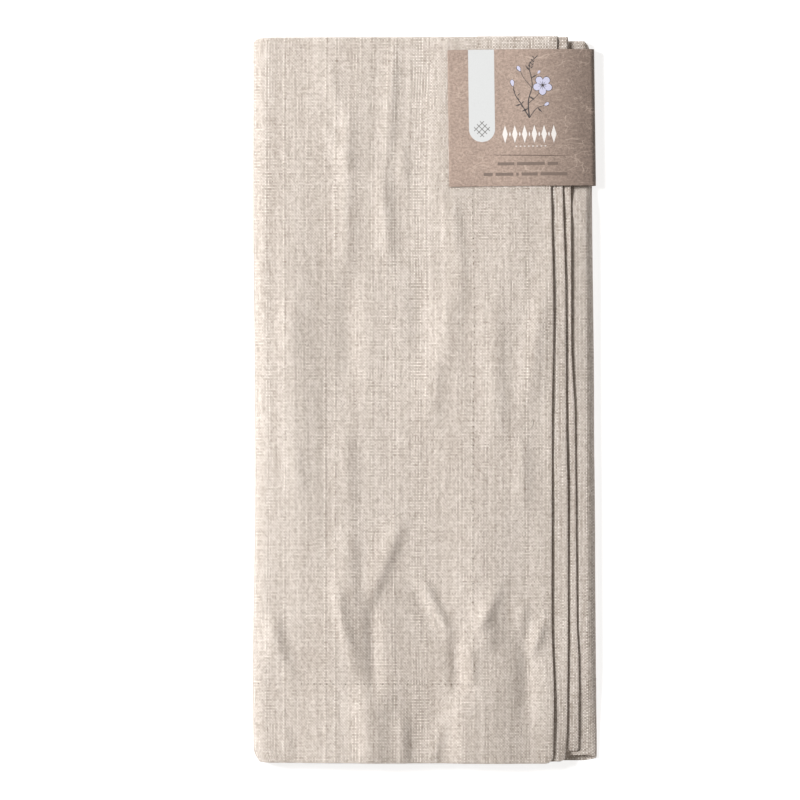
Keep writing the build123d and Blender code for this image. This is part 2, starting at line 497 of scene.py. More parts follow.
@dataclass(frozen=True)
class PlainFinish:
    """A surface of one colour, which a fine noise makes a little lighter and darker."""

    name: str
    colour: Colour
    scale: float
    tones: tuple[float, float]
    rough: float
    span: tuple[float, float] = (0.25, 0.75)
    detail: float = 2.0
    noise_rough: float = 0.5
    relief: float = 0.0
    glow: float = 0.0

    def material(self) -> bpy.types.Material:
        """Wire the noise, a relief of it if there is one, and a faint even glow if there is one."""
        bench = Bench(self.name)
        grain = bench.noise(bench.here(), self.scale, self.detail, self.noise_rough)
        if self.relief:
            bench.bump(grain, self.relief)
        if self.glow:
            bench.shader.inputs["Emission Color"].default_value = (1.0, 1.0, 1.0, 1.0)
            bench.shader.inputs["Emission Strength"].default_value = self.glow
        return bench.finish(bench.tint(self.colour, bench.ramp(grain, *self.span, *self.tones)), self.rough)


def ink(name: str, colour: Colour, grain: float) -> PlainFinish:
    """Flat printing ink of one colour, with the board's grain showing through it."""
    return PlainFinish(name, colour, 1900.0, (1 - grain, 1 + grain), 0.62, detail=3.0, noise_rough=0.6,
                       relief=0.01 * MM)


# Needle holes: dark beads that paint the shade inside each hole.
HOLE_SHADE = PlainFinish("needle_hole", (0.20, 0.16, 0.125), 1800.0, (0.7, 1.3), 1.0)
FIBRE = PlainFinish("flax_fibre", (0.86, 0.82, 0.76), 700.0, (0.85, 1.05), 0.6)
GLUE = PlainFinish("label_glue", (0.80, 0.76, 0.66), 900.0, (0.92, 1.06), 0.35, (0.2, 0.8), relief=0.05 * MM)
FLOOR = PlainFinish("studio_floor", (0.50, 0.50, 0.50), 2.0, (0.995, 1.005), 0.9, (0.0, 1.0), glow=0.78)


# ---- The folded pack ----

class Layer(Enum):
    """The four layers that the length makes when it is halved twice, counted from the pack's outside."""

    OUTER = 0
    SECOND = 1
    THIRD = 2
    INNER = 3


class Panel(Enum):
    """The stretches of cloth met on the way across the runner, from the tucked edge to the flap's."""

    TUCKED = 0
    RIGHT_FOLD = 1
    MIDDLE = 2
    LEFT_FOLD = 3
    FLAP = 4


@dataclass(frozen=True)
class Crease:
    """A soft ridge, or a valley if its height is negative, that was pressed into the lying pack.

    Its line runs down the pack, and each of its flanks has its own width. All sizes are in millimetres.
    """

    start: tuple[float, float]
    end: tuple[float, float]
    height: float
    left: float
    right: float

    def lift(self, x: Array, y: Array) -> Array:
        """Height of the crease at places given in millimetres from the middle of the pack."""
        run = np.array(self.end) - np.array(self.start)
        length = float(np.hypot(*run))
        along = ((x - self.start[0]) * run[0] + (y - self.start[1]) * run[1]) / length
        away = ((x - self.start[0]) * run[1] - (y - self.start[1]) * run[0]) / length
        width = np.where(away < 0, self.right, self.left)
        taper = max(0.3 * length, 5.0)
        past = np.maximum(np.maximum(taper - along, along - length + taper), 0.0) / taper
        return self.height * np.exp(-((away / width) ** 2) - 1.1 * past**2)


@dataclass(frozen=True)
class PackForm:
    """The shape of the folded pack: where a place on the flat cloth comes to lie.

    A place is given by its column, which counts the panels from the tucked edge and has the share of
    the way across a panel after the point, by its y, and by its depth under the outside of the pack.
    """

    left_x: float
    right_x: float
    foot_y: float
    head_y: float
    height: float
    ply: float = 0.7 * MM
    hem: float = 39.5 * MM
    seam: float = 38.0 * MM
    foot_fold: float = 5.9 * MM
    flap_stop: float = 20.0 * MM
    flap_insets: tuple[Wander, ...] = (
        Wander((0.0, 0.09, 0.2, 0.47, 0.61, 0.79, 1.0), (19.2, 18.9, 20.0, 19.9, 19.2, 20.2, 17.3)),
        Wander((0.0, 0.09, 0.2, 0.36, 0.47, 0.64, 0.79, 1.0),
               (12.6, 12.3, 12.1, 12.2, 13.0, 13.3, 14.6, 12.4)),
        Wander((0.0, 0.13, 0.21, 0.33, 0.47, 0.58, 0.79, 1.0), (6.9, 6.8, 7.9, 8.2, 8.7, 10.5, 10.6, 11.9)),
        Wander((0.0, 0.3, 0.6, 1.0), (7.4, 9.2, 11.6, 16.2)),
    )
    left_drift: Wander = Wander((0.0, 0.13, 0.4, 0.55, 0.75, 1.0), (0.3, -0.2, 0.9, 0.5, -0.1, 0.0))
    right_drift: Wander = Wander((0.0, 0.1, 0.3, 0.48, 0.8, 1.0), (2.0, 1.7, 1.3, 0.8, -0.2, -1.1))
    tuck_gaps: tuple[float, ...] = (2.4, 1.6, 0.8, 1.8)
    foot_gaps: tuple[float, ...] = (2.4, 3.7, 0.9, 0.6, 0.5, 0.0)
    head_gaps: tuple[float, ...] = (2.0, 2.0, 1.6, 0.9, 0.3, 0.0)
    swell: Wander = Wander(
        (0.0, 0.06, 0.14, 0.24, 0.34, 0.46, 0.58, 0.64, 0.74, 0.87, 1.0),
        (-1.7, -1.0, -0.45, -0.1, 0.05, -0.75, -0.55, -0.25, 0.05, -0.45, -0.9),
    )
    creases: tuple[Crease, ...] = (
        Crease((-11, -58), (-28, -100), 0.52, 5.5, 3.4),
        Crease((-38, -60), (-35, -102), 0.60, 7.0, 5.0),
        Crease((-26, -97), (-24, -141), -0.62, 3.2, 4.2),
        Crease((-43, -88), (-38, -118), 0.55, 2.4, 3.6),
        Crease((-38, -110), (-33, -129), 0.40, 3.0, 3.4),
        Crease((-73, -104), (-70, -127), 0.75, 6.0, 4.0),
        Crease((-69, -118), (-64, -136), 0.30, 3.0, 3.0),
        Crease((-2, -86), (12, -112), 0.65, 3.4, 2.6),
        Crease((-5, -92), (7, -112), -0.50, 4.0, 3.0),
        Crease((15, -112), (16, -142), -0.60, 3.0, 3.2),
        Crease((35, -91), (25, -112), 0.50, 4.5, 3.0),
        Crease((30, -100), (31, -120), 0.55, 5.0, 4.6),
        Crease((21, -118), (23, -136), 0.45, 3.0, 3.0),
        Crease((49, -112), (49, -152), -0.50, 3.8, 4.0),
        Crease((47, -97), (47, -112), 0.30, 3.0, 3.0),
        Crease((57, -106), (51, -124), 0.50, 4.0, 2.6),
        Crease((-29, -139), (-26, -178), 1.05, 6.0, 13.0),
        Crease((-11, -152), (-10, -176), 0.50, 4.0, 3.2),
        Crease((8, -156), (4, -176), 0.45, 5.0, 3.0),
        Crease((18, -138), (19, -178), 0.90, 6.0, 13.0),
        Crease((-68, -158), (-64, -171), 0.25, 2.5, 2.5),
        Crease((-36, 64), (-36, 8), -0.45, 5.0, 5.0),
        Crease((-38, -12), (-37, -56), 0.50, 10.0, 4.4),
        Crease((-4, 58), (-2, 18), -0.40, 5.0, 6.0),
        Crease((5, 26), (4, -12), 0.42, 6.0, 4.4),
        Crease((10, 54), (12, 14), 0.35, 5.0, 5.0),
        Crease((33, 54), (36, -22), 0.40, 7.0, 4.0),
        Crease((56, 52), (49, -6), 0.55, 5.0, 6.0),
        Crease((47, -18), (48, -52), 0.40, 5.0, 4.0),
        Crease((-64, 46), (-65, 18), 0.30, 6.0, 5.0),
        Crease((-63, -22), (-60, -44), 0.30, 5.0, 4.0),
        Crease((-15, 172), (-18, 112), 0.42, 4.0, 3.0),
        Crease((-37, 142), (-37, 106), 0.42, 4.5, 3.6),
        Crease((-48, 132), (-36, 112), 0.30, 2.8, 2.8),
        Crease((-38, 106), (-38, 58), 0.38, 6.5, 4.2),
        Crease((-21, 110), (-17, 66), 0.58, 4.5, 4.0),
        Crease((-11, 124), (-10, 104), 0.25, 3.0, 2.6),
        Crease((12, 104), (15, 74), 0.50, 7.0, 4.2),
        Crease((16, 78), (17, 42), 0.30, 6.0, 4.0),
        Crease((-47, 160), (-41, 140), 0.25, 4.0, 4.0),
    )
    crumples: tuple[tuple[float, float, float, int], ...] = (
        (1.9, 0.030, 0.16, 10), (0.75, 0.014, 0.11, 11), (0.20, 0.0062, 0.055, 12),
    )
    corner_pulls: tuple[tuple[float, float], ...] = ((8.0, 3.6), (3.5, 2.0), (8.0, 4.0), (3.5, 1.6))
    crush: float = 3.3
    groove: float = 0.55
    bulge: float = 1.7
    slump: float = 6.0
    slump_from: float = 57.0
    slump_reach: float = 50.0
    groove_width: float = 1.2
    press_from: float = 38.0
    press_reach: float = 22.6
    label_low: tuple[float, float] = (0.0, 0.0)
    label_high: tuple[float, float] = (0.0, 0.0)

    @classmethod
    def from_frame(cls) -> "PackForm":
        """Take the pack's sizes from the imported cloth, and the label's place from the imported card."""
        low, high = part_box("linen_cloth")
        card_low, card_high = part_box("label_card")
        return cls(
            low.x, high.x, low.y, high.y, high.z,
            label_low=(card_low.x, card_low.y), label_high=(card_high.x, card_high.y),
        )

    @property
    def pitch(self) -> float:
        """From one layer of cloth to the next: the pack is twelve layers high."""
        return (self.height - self.ply) / 11

    @property
    def tuck_height(self) -> float:
        """Height of the middle and tucked panels together."""
        return 7 * self.pitch + self.ply

    @property
    def left_axis(self) -> float:
        """The line that the left-hand fold turns about."""
        return self.left_x + self.height / 2

    @property
    def right_axis(self) -> float:
        """The line that the right-hand fold turns about."""
        return self.right_x - self.tuck_height / 2

    def share(self, y: Array) -> Array:
        """How far a place is from the foot towards the head."""
        return np.clip((y - self.foot_y) / (self.head_y - self.foot_y), 0.0, 1.0)

    def by_panel(self, column: Array, gaps: Sequence[float]) -> Array:
        """A length in metres that changes evenly from panel to panel, given in millimetres at each join."""
        return np.interp(column, range(6), gaps) * MM

    def foot_line(self, column: Array, layer: Layer) -> Array:
        """Where one of the outer two layers ends at the foot."""
        gap = 0.9 * MM if layer is Layer.SECOND else 0.0
        return self.foot_y + gap + self.by_panel(column, self.foot_gaps)

    def head_line(self, column: Array) -> Array:
        """Where the pack ends at the head."""
        return self.head_y - self.by_panel(column, self.head_gaps)

    def edge_x(self, first: Layer, second: Layer, blend: Array, y: Array) -> tuple[Array, Array]:
        """Free edges of the cloth between two layers.

        Args:
            first: The layer at blend 0.
            second: The layer at blend 1.
            blend: How far the place is from the first layer to the second.
            y: Where along the pack.

        Returns:
            x of the tucked edge and x of the flap's edge.
        """
        share = self.share(y)
        inset = self.flap_insets[first.value].at(share) * (1 - blend)
        inset = inset + self.flap_insets[second.value].at(share) * blend
        gap = self.tuck_gaps[first.value] * (1 - blend) + self.tuck_gaps[second.value] * blend
        return self.left_axis + gap * MM, self.right_x - inset * MM

    def layer_edges(self, layer: Layer, y: Array) -> tuple[Array, Array]:
        """x of the tucked edge and x of the flap's edge in one layer."""
        return self.edge_x(layer, layer, np.zeros_like(y), y)

    def section(self, column: Array, depth: Array, tuck_x: Array, flap_x: Array) -> tuple[Array, Array]:
        """x and z of the cloth at a column and depth, in the even pack before it settles."""
        panel = np.minimum(column.astype(int), Panel.FLAP.value)
        along = column - panel
        right_z, left_z = self.tuck_height / 2, self.height / 2
        sine, cosine = np.sin(math.pi * along), np.cos(math.pi * along)
        panels = [panel == p.value for p in Panel]
        x = np.select(panels, [
            tuck_x + along * (self.right_axis - tuck_x),
            self.right_axis + (right_z - depth) * sine,
            self.right_axis + along * (self.left_axis - self.right_axis),
            self.left_axis - (left_z - depth) * sine,
            self.left_axis + along * (flap_x - self.left_axis),
        ])
        z = np.select(panels, [
            self.tuck_height - depth,
            right_z + (right_z - depth) * cosine,
            depth + 0 * along,
            left_z - (left_z - depth) * cosine,
            self.height - depth,
        ])
        return x, z

    def under_label(self, x: Array, y: Array, margin: float) -> Array:
        """1 under the card, falling to 0 over a margin round it."""
        inside = between(x, self.label_low[0] - margin, self.label_low[0])
        inside = inside * between(y, self.label_low[1] - margin, self.label_low[1])
        return inside * (1 - between(y, self.label_high[1], self.label_high[1] + margin))

    def rise(self, x: Array, y: Array) -> Array:
        """How far the top of the pack lies above its even height: swells, creases and crumpling."""
        place_x, place_y = x / MM, y / MM
        across = (x - self.left_x) / (self.right_x - self.left_x)
        rise = self.swell.at(np.clip(across + 0.02 * soft_noise(x, y, 1.0, 0.09, 5), 0.0, 1.0)) * MM
        for crease in self.creases:
            rise = rise + self.crush * crease.lift(place_x, place_y) * MM
        bend = 7 * MM * soft_noise(x, y, 0.06, 0.09, 21)
        for height, cell_x, cell_y, seed in self.crumples:
            rise = rise + height * MM * soft_noise(x + bend, y, cell_x, cell_y, seed)
        low = (1 - between(y, self.foot_y, self.foot_y + self.slump_reach * MM)) * self.slump * MM
        rise = rise - low * between(place_x, self.slump_from, self.right_x / MM + 1.5)
        pressed = self.under_label(x, y, 14 * MM)
        return rise * (1 - pressed) - (0.05 * MM + self.press(x)) * pressed

    def press(self, x: Array) -> Array:
        """How far the card holds the pack down: more and more towards the fold that it goes round."""
        return np.clip((x / MM - self.press_from) / self.press_reach, 0.0, None) ** 2 * MM

    def grooves(self, x: Array, y: Array, first: int) -> Array:
        """How deep the cloth dips beside the free edges of the flaps that lie on it.

        Args:
            x: Places across the pack.
            y: Places along it.
            first: How many flaps lie on it.

        Returns:
            A depth for each place, in metres, at the full height of the pack.
        """
        share = self.share(y)
        depth = 0 * x
        for inset in self.flap_insets[:first]:
            away = (x - self.right_x) / MM + inset.at(share) - 0.3
            depth = np.maximum(depth, self.groove * np.exp(-((away / self.groove_width) ** 2)))
        return depth * MM

    def settle(self, points: Array) -> Array:
        """Let the even pack lie as it does: its folds drift, its corners round off and its top crumples.

        Args:
            points: Places in the even pack, one row each, in metres.

        Returns:
            The same places in the pack as it lies.
        """
        x, y, z = points[:, 0].copy(), points[:, 1].copy(), points[:, 2].copy()
        share = self.share(y)
        left = 1 - between(x, self.left_x, self.left_x + 24 * MM)
        right = between(x, self.right_x - 5.5 * MM, self.right_x)
        moved = x + left * self.left_drift.at(share) * MM + right * self.right_drift.at(share) * MM
        to_foot, to_head = y - self.foot_y, self.head_y - y
        corners = ((left, to_foot), (left, to_head), (-right, to_head), (-right, to_foot))
        for (reach, pull), (side, near) in zip(self.corner_pulls, corners):
            close = np.clip(1 - near / (reach * MM), 0.0, 1.0)
            moved = moved + np.sign(side) * side**2 * pull * MM * close**2
        lifted = z + self.rise(x, y) * z / self.height + self.roll(x, y, z)
        return np.column_stack([moved, y, np.maximum(lifted, 0.01 * MM)])

    def roll(self, x: Array, y: Array, z: Array) -> Array:
        """How far the right-hand fold puffs up beside the flap that lies on it, but not under the card."""
        start = self.right_x - (self.flap_insets[2].at(self.share(y)) - 0.4) * MM
        across = np.clip((x - start) / (self.right_x - start), 0.0, 1.0)
        puff = np.sin(math.pi * across**1.25) * np.clip(z / self.tuck_height, 0.0, 1.0) ** 2
        loose = 1 - self.under_label(0 * x + self.right_axis, y, 8 * MM)
        loose = loose * between(y, self.foot_y + 12 * MM, self.foot_y + 70 * MM)
        return self.bulge * MM * puff * loose * (z < self.tuck_height + 0.3 * MM)

    def at(self, column: Array, y: Array, layer: Layer, lift: float = 0.0) -> Array:
        """Places on the outer face of a layer, as it lies.

        Args:
            column: Where across the cloth.
            y: Where along the pack.
            layer: Which layer.
            lift: How far off the cloth, towards the outside of the pack.

        Returns:
            One row for each place, in metres.
        """
        tuck_x, flap_x = self.layer_edges(layer, y)
        depth = np.full_like(y, layer.value * self.pitch - lift)
        x, z = self.section(column, depth, tuck_x, flap_x)
        return self.settle(np.column_stack([x, y, z]))


@dataclass(frozen=True)
class Row:
    """A row of corners right across the cloth, at one place along its length."""

    layers: tuple[Layer, Layer]
    blend: float
    share: float
    reach: float
    depth: float
    face: tuple[float, float]
    from_end: float
    flat: float


@dataclass
class FoldedCloth:
    """The runner's cloth: one closed sheet that goes through every fold of the pack."""

    form: PackForm
    finish: LinenFinish
    flat_size: tuple[float, float] = (0.500, 1.400)
    thickness: float = 0.56 * MM
    hem_outside: float = 0.16 * MM
    hem_inside: float = 0.22 * MM
    corner: float = 4.0 * MM
    fine: float = 1.2 * MM
    lengthwise: float = 1.45 * MM
    coarse: float = 3.5 * MM
    hidden_rows: int = 24
    seam_step: float = 0.8 * MM
    rounding: tuple[float, ...] = (0.05 * MM, 0.18 * MM, 0.42 * MM)
    beside: tuple[float, ...] = (1.0 * MM, 3.0 * MM, 7.0 * MM)
    hem_ramp: tuple[float, float] = (-1.2 * MM, 0.6 * MM)
    seam_width: float = 0.9 * MM
    curls: tuple[float, ...] = (0.55, 0.45, 0.30, 0.0)
    foot_curls: tuple[float, ...] = (2.2, 1.0, 0.5, 0.0)

    def spread(self, length: float, step: float, seam: float, ends: tuple[bool, bool]) -> Array:
        """Shares of a length at which corners stand: evenly, closer at a seam and at a rounded edge.

        Args:
            length: The length in metres.
            step: The even spacing.
            seam: Where a seam crosses it, in metres, or a negative number for none.
            ends: Whether the start and the end are free, rounded edges.

        Returns:
            Rising shares from 0 to 1.
        """
        places = list(np.linspace(0, length, max(2, round(length / step)) + 1))
        if seam > 0:
            places = [p for p in places if abs(p - seam) > 4 * self.seam_step]
            places += [seam + k * self.seam_step for k in range(-4, 5)]
        if ends[0]:
            places += self.rounding
        if ends[1]:
            places += [length - r for r in self.rounding]
        return np.array(sorted(places)) / length

    def columns(self) -> Array:
        """Columns right across the cloth, close together where the flap shows."""
        form = self.form
        tuck = form.right_axis - form.left_axis
        flap = form.right_x - form.flap_stop - form.left_axis
        return np.concatenate([
            self.spread(tuck, 12 * MM, -1.0, (True, False))[:-1],
            *(panel + np.linspace(0, 1, steps)[:-1] for panel, steps in ((1, 11), (2, 13), (3, 15))),
            4 + self.spread(flap, self.fine, flap - form.seam, (False, True)),
        ])

    def rows(self) -> list[Row]:
        """Rows along the cloth: down each layer and round each fold, from one free end to the other."""
        form = self.form
        pitch, ply = form.pitch, form.ply
        length = form.head_y - form.foot_y
        rows: list[Row] = []
        place = 0.0

        def run(layer: Layer, shares: Array, face: float) -> None:
            """Add a layer's straight rows, at rising or falling shares of the way to the head."""
            nonlocal place
            before = shares[0]
            for share in shares:
                place += abs(share - before) * length
                before = share
                from_end = share * length if layer in (Layer.OUTER, Layer.SECOND) else length
                depth = layer.value * pitch + ply / 2
                rows.append(Row((layer, layer), 0.0, share, 0.0, depth, (0.0, face), from_end, place))

        def turn(first: Layer, second: Layer, at_head: bool, outside: bool, steps: int) -> None:
            """Add the rows round a fold from one layer to another."""
            nonlocal place
            radius = abs(second.value - first.value) * pitch / 2
            middle = (first.value + second.value) * pitch / 2 + ply / 2
            down = 1.0 if second.value > first.value else -1.0
            for step in range(1, steps):
                angle = math.pi * step / steps
                place += radius * math.pi / steps
                out, deep = math.sin(angle), -down * math.cos(angle)
                ahead = 1.0 if at_head else -1.0
                side = 1.0 if outside else -1.0
                rows.append(Row(
                    (first, second), float(ease(step / steps)), 1.0 if at_head else 0.0, ahead * radius * out,
                    middle + radius * deep, (side * ahead * out, side * deep), length, place
                ))

        rise = self.spread(length, self.lengthwise, form.seam, (True, False))
        beside = np.array(self.beside) / length
        few = np.unique(np.concatenate([np.linspace(0, 1, self.hidden_rows), beside, 1 - beside]))
        last = self.spread(length, length / self.hidden_rows, form.seam, (True, False))
        run(Layer.OUTER, rise, -1.0)
        turn(Layer.OUTER, Layer.INNER, True, True, 9)
        run(Layer.INNER, few[::-1], 1.0)
        turn(Layer.INNER, Layer.THIRD, False, True, 6)
        run(Layer.THIRD, few, -1.0)
        turn(Layer.THIRD, Layer.SECOND, True, False, 6)
        run(Layer.SECOND, last[::-1], 1.0)
        return rows

    def row_y(self, row: Row, columns: Array) -> Array:
        """y of a row at each column."""
        form, pitch, ply = self.form, self.form.pitch, self.form.ply
        outer_turn = 1.5 * pitch + ply / 2
        inner_turn = 0.5 * pitch + ply / 2
        outside = row.layers[0] is Layer.OUTER or row.layers[1] is Layer.INNER
        top = form.head_line(columns) - outer_turn
        if not outside or row.layers[0] in (Layer.SECOND, Layer.THIRD) and row.layers[1] is not Layer.INNER:
            top = form.head_line(columns) - 0.2 * MM - inner_turn
        if row.layers[0] in (Layer.OUTER, Layer.SECOND) and row.layers[0] is row.layers[1]:
            bottom = form.foot_line(columns, row.layers[0])
        else:
            bottom = form.foot_y + form.foot_fold + inner_turn + 0 * columns
        return bottom + (top - bottom) * row.share + row.reach

    def edge_profile(self, away: Array, half: Array) -> Array:
        """Half thickness near a free edge, so that the edge is round."""
        near = np.clip(away / half, 0.0, 1.0)
        return half * np.sqrt(np.clip(1 - (1 - near) ** 2, 0.0, 1.0))

    def round_corner(self, x: Array, y: Array, edge_x: Array, end_y: Array) -> tuple[Array, Array]:
        """Draw the flap's free corner in to a quarter circle."""
        p = 1 - (edge_x - x) / self.corner
        q = 1 - (y - end_y) / self.corner
        inside = (p > 0) & (q > 0)
        p, q = np.where(inside, np.clip(p, 0, 1), 0), np.where(inside, np.clip(q, 0, 1), 0)
        new_p, new_q = p * np.sqrt(1 - q * q / 2), q * np.sqrt(1 - p * p / 2)
        return x + (new_p - p) * self.corner, y - (new_q - q) * self.corner

    def curl(self, away: Array, y: Array, layer: Layer) -> Array:
        """How far a layer lifts off the one below it, along the flap's free edge."""
        reach = 11 * MM + 4 * MM * soft_noise(y, 0 * y, 0.05, 1.0, 40 + layer.value)
        from_foot = between(y, self.form.foot_y, self.form.foot_y + 0.06)
        size = self.curls[layer.value] * MM
        size = size * (1 + 0.6 * soft_noise(y, 0 * y, 0.03, 1.0, 50 + layer.value))
        size = size * (1 + self.foot_curls[layer.value] * (1 - from_foot))
        near = ease(1 - away / reach)
        return size * near * (1 - self.form.under_label(self.form.right_axis + 0 * y, y, 10 * MM))

    def row_points(self, row: Row, columns: Array) -> tuple[Array, Array]:
        """The two faces of the cloth along a row, as they lie."""
        form = self.form
        y = self.row_y(row, columns)
        tuck_x, flap_x = form.edge_x(*row.layers, row.blend, y)
        x, _ = form.section(columns, np.full_like(y, row.depth), tuck_x, flap_x)
        to_tuck = np.where(columns < 1, x - tuck_x, 1.0)
        to_flap = np.where(columns >= Panel.FLAP.value, flap_x - x, 1.0)
        to_side = np.minimum(to_tuck, to_flap)
        to_end = row.from_end + 0 * x
        hem = np.maximum(*(
            1 - between(to, form.hem + self.hem_ramp[0], form.hem + self.hem_ramp[1])
            for to in (to_side, to_end)
        ))
        at_seam = np.maximum(*(
            np.exp(-(((to - form.seam) / self.seam_width) ** 2)) * (other > form.seam)
            for to, other in ((to_side, to_end), (to_end, to_side))
        ))
        pucker = 0.5 + 0.5 * soft_noise(x + y, x - y, 0.006, 0.006, 31)
        outward = self.hem_outside * hem * (0.7 + 0.6 * pucker) - 0.05 * MM * at_seam
        inward = self.hem_inside * hem
        half = self.thickness / 2
        thick = self.edge_profile(np.minimum(to_side, to_end), half + (outward + inward) / 2)
        middle = (outward - inward) / 2 * np.clip(np.minimum(to_side, to_end) / (0.6 * MM), 0, 1)
        curls = [self.curl(to_flap, y, layer) for layer in row.layers]
        on_flap = columns >= Panel.FLAP.value
        curl = np.where(on_flap, curls[0] * (1 - row.blend) + curls[1] * row.blend, 0.0)
        faces = []
        for side in (1.0, -1.0):
            offset_y = row.face[0] * side * thick
            depth = row.depth - middle + row.face[1] * side * thick
            face_x, face_z = form.section(columns, depth, tuck_x, flap_x)
            face_y = y + offset_y
            over = max(row.layers[0].value, row.layers[1].value)
            dip = np.where(on_flap, form.grooves(face_x, face_y, over), form.grooves(face_x, face_y, 4))
            face_z = face_z - np.where(on_flap | (columns < 2), dip * face_z / form.height, 0.0)
            if row.layers[0] is row.layers[1] and row.layers[0] in (Layer.OUTER, Layer.SECOND):
                end_y = form.foot_line(columns, row.layers[0])
                bent_x, bent_y = self.round_corner(face_x, face_y, flap_x, end_y)
                face_x, face_y = np.where(on_flap, bent_x, face_x), np.where(on_flap, bent_y, face_y)
            faces.append(form.settle(np.column_stack([face_x, face_y, face_z + curl])))
        return faces[0], faces[1]

    def flat_places(self, rows: list[Row], columns: Array) -> Array:
        """Where each corner was on the flat cloth, in metres, one row of corners after another."""
        form = self.form
        turns = (form.tuck_height - form.ply, form.height - form.ply)
        lengths = (
            form.right_axis - form.left_axis, turns[0] * math.pi / 2, form.right_axis - form.left_axis,
            turns[1] * math.pi / 2, form.right_x - form.flap_stop - form.left_axis,
        )
        joins = np.concatenate([[0.0], np.cumsum(lengths)])
        across = np.interp(columns, range(6), joins)
        along = np.array([row.flat for row in rows])
        grid = np.stack(np.broadcast_arrays(across[None, :], along[:, None], np.zeros((1, 1))), axis=-1)
        return grid.reshape(-1, 3)

    def thinned(self, places: Array, always: Array) -> Array:
        """Numbers of the rows or columns that the inner face has: all of the folds and few of the rest."""
        kept = [0]
        for number in range(1, len(places)):
            at_end = number < 5 or number >= len(places) - 5
            if at_end or always[number] or places[number] - places[kept[-1]] >= self.coarse:
                kept.append(number)
        return np.array(kept)

    def inner_faces(self, number: Array, rows: Array, columns: Array) -> list[list[int]]:
        """Faces of the inner side, which meet every corner of the border that they share with the outer side.

        Args:
            number: The number of the inner corner at each row and column, or of the shared one on the border.
            rows: The rows that the inner side has.
            columns: The columns that it has.

        Returns:
            The faces, as lists of corner numbers.
        """
        faces = []
        last_row, last_column = number.shape[0] - 1, number.shape[1] - 1
        for low, high in zip(rows, rows[1:]):
            for left, right in zip(columns, columns[1:]):
                up = range(low + 1, high) if left == 0 else ()
                over = range(left + 1, right) if high == last_row else ()
                down = range(high - 1, low, -1) if right == last_column else ()
                back = range(right - 1, left, -1) if low == 0 else ()
                faces.append([
                    number[low, left], *(number[k, left] for k in up),
                    number[high, left], *(number[high, k] for k in over),
                    number[high, right], *(number[k, right] for k in down),
                    number[low, right], *(number[low, k] for k in back),
                ])
        return faces

    def build(self) -> bpy.types.Object:
        """Make the sheet as two faces that share their border, and dress it."""
        columns, rows = self.columns(), self.rows()
        pairs = [self.row_points(row, columns) for row in rows]
        wide, tall = len(columns), len(rows)
        front = np.array([pair[0] for pair in pairs])
        back = np.array([pair[1] for pair in pairs])
        border = np.zeros((tall, wide), bool)
        border[0, :] = border[-1, :] = border[:, 0] = border[:, -1] = True
        front[border] = (front[border] + back[border]) / 2
        number = np.arange(tall * wide).reshape(tall, wide)
        places = self.flat_places(rows, columns).reshape(tall, wide, 3)
        panel = columns.astype(int)
        folded = (panel == Panel.RIGHT_FOLD.value) | (panel == Panel.LEFT_FOLD.value)
        some_columns = self.thinned(places[0, :, 0], folded)
        turning = np.array([row.layers[0] is not row.layers[1] for row in rows])
        some_rows = self.thinned(places[:, 0, 1], turning)
        inside = np.zeros((tall, wide), bool)
        inside[np.ix_(some_rows, some_columns)] = True
        inside &= ~border
        other = number.copy()
        other[inside] = tall * wide + np.arange(int(inside.sum()))
        faces = grid_faces(number).tolist() + self.inner_faces(other, some_rows, some_columns)
        piece = new_piece("linen_sheet", np.concatenate([front.reshape(-1, 3), back[inside]]), faces)
        add_place(piece, "flat", np.concatenate([places.reshape(-1, 3), places[inside]]))
        piece.data.materials.append(self.finish.material())
        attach(piece, "runner")
        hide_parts("linen_cloth")
        show_count(piece)
        return piece


# ---- Seams ----

